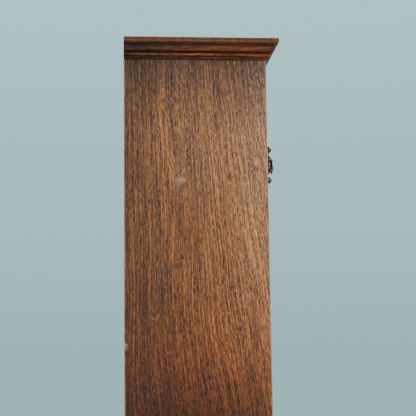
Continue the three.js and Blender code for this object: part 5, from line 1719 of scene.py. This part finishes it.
def buildBottomBoard():
    low, high = boxOf("bottom_board")
    bm = bmesh.new()
    width = (high.y - low.y) / 2
    finishes = []
    for i in range(2):
        a = (low.x, low.y + i * width + (0.0004 if i else 0.0), low.z)
        b = (high.x, low.y + (i + 1) * width - (0.0004 if not i else 0.0), high.z)
        addBlock(bm, a, b, 0.0008, 1, i)
        finishes.append(oakFinish(f"bottomPlank{i + 1}", a, b, "x", "inside", 0.01, 0.3, 20.0 + i, 0.0016,
                                  (0.28, 0.19, 0.11)))
    addPiece("bottom_board_planks", bm, finishes, "case", ["bottom_board"])


buildBackBoard()
buildSeat()
buildBottomBoard()


# Stage, light and camera. The screw is removed first, because every copy of it has been made.
print("stage")
bpy.data.objects.remove(screwMaster)
stageSpec = {"floor": (0.62, 0.66, 0.68), "reach": 7.0, "level": -0.0006}


def stagePlane(name, corners, colour, scale):
    mesh = bpy.data.meshes.new(name)
    mesh.from_pydata(corners, [], [(0, 1, 2, 3)])
    plane = bpy.data.objects.new(name, mesh)
    scene.collection.objects.link(plane)
    material, tree, shader = newMaterial(name + "Paint", Roughness=0.9)
    soft = noise(tree, objectPlace(tree), (scale, scale, scale), 2.0)
    paler = tuple(min(1.0, channel * 1.05) for channel in colour)
    tree.links.new(mixColour(tree, soft, colour, paler), shader.inputs["Base Color"])
    mesh.materials.append(material)


floorCorners = [(sx * stageSpec["reach"], sy * stageSpec["reach"], stageSpec["level"])
                for sx, sy in ((-1, -1), (1, -1), (1, 1), (-1, 1))]
stagePlane("floor", floorCorners, stageSpec["floor"], 0.8)

# The room: the lens sees a pale blue-grey, a little lighter overhead, and what lights the clock is softer.
roomSpec = {"low": (0.385, 0.64, 0.66), "high": (0.52, 0.88, 0.96), "light": (0.56, 0.6, 0.62),
            "strength": 0.85}
world = bpy.data.worlds.new("studio")
scene.world = world
world.use_nodes = True
sky = world.node_tree
seen = sky.nodes["Background"]
aim = put(sky, "ShaderNodeSeparateXYZ", {0: put(sky, "ShaderNodeTexCoord").outputs["Generated"]}).outputs[2]
sky.links.new(mixColour(sky, remap(sky, aim, -0.02, 0.3), roomSpec["low"], roomSpec["high"]),
              seen.inputs["Color"])
glow = feed(sky, "ShaderNodeBackground", {
    "Color": (*roomSpec["light"], 1.0), "Strength": roomSpec["strength"]})
direct = put(sky, "ShaderNodeLightPath").outputs["Is Camera Ray"]
choice = feed(sky, "ShaderNodeMixShader", {0: direct, 1: glow, 2: seen.outputs[0]})
sky.links.new(choice, sky.nodes["World Output"].inputs["Surface"])


def addLight(name, place, target, size, power, colour):
    light = bpy.data.lights.new(name, "AREA")
    light.shape = "RECTANGLE"
    light.size, light.size_y = size
    light.energy = power
    light.color = colour
    lamp = bpy.data.objects.new(name, light)
    scene.collection.objects.link(lamp)
    lamp.location = place
    lamp.rotation_euler = (Vector(target) - Vector(place)).to_track_quat("-Z", "Y").to_euler()


addLight("key", (-2.6, -2.6, 3.3), (0, 0, 1.4), (1.6, 1.6), 95, (1.0, 0.97, 0.93))
addLight("fill", (-3.4, 1.6, 2.0), (0, 0, 1.2), (2.4, 2.4), 28, (0.93, 0.97, 1.0))
addLight("front", (1.6, -3.4, 2.4), (0, 0, 1.2), (2.0, 2.0), 55, (1.0, 0.98, 0.95))
addLight("behind", (2.4, 2.8, 2.8), (0, 0, 1.2), (2.0, 2.0), 45, (0.96, 0.98, 1.0))

# The camera stands beside the case at chest height and looks slightly up at the head of it.
cameraSpec = {"place": (-1.981, 0.139, 1.436), "yaw": -4.83, "pitch": 6.99, "roll": -0.725, "focal": 85.6}
yaw, pitch, roll = (math.radians(cameraSpec[key]) for key in ("yaw", "pitch", "roll"))
forward = Vector((math.cos(pitch) * math.cos(yaw), math.cos(pitch) * math.sin(yaw), math.sin(pitch)))
level = forward.cross(Vector((0, 0, 1))).normalized()
rise = level.cross(forward)
right = level * math.cos(roll) + rise * math.sin(roll)
upward = rise * math.cos(roll) - level * math.sin(roll)
lens = bpy.data.cameras.new("camera")
lens.sensor_width = 36.0
lens.lens = cameraSpec["focal"]
camera = bpy.data.objects.new("camera", lens)
scene.collection.objects.link(camera)
turn = Matrix((right, upward, -forward)).transposed()
camera.matrix_world = Matrix.Translation(cameraSpec["place"]) @ turn.to_4x4()
scene.camera = camera
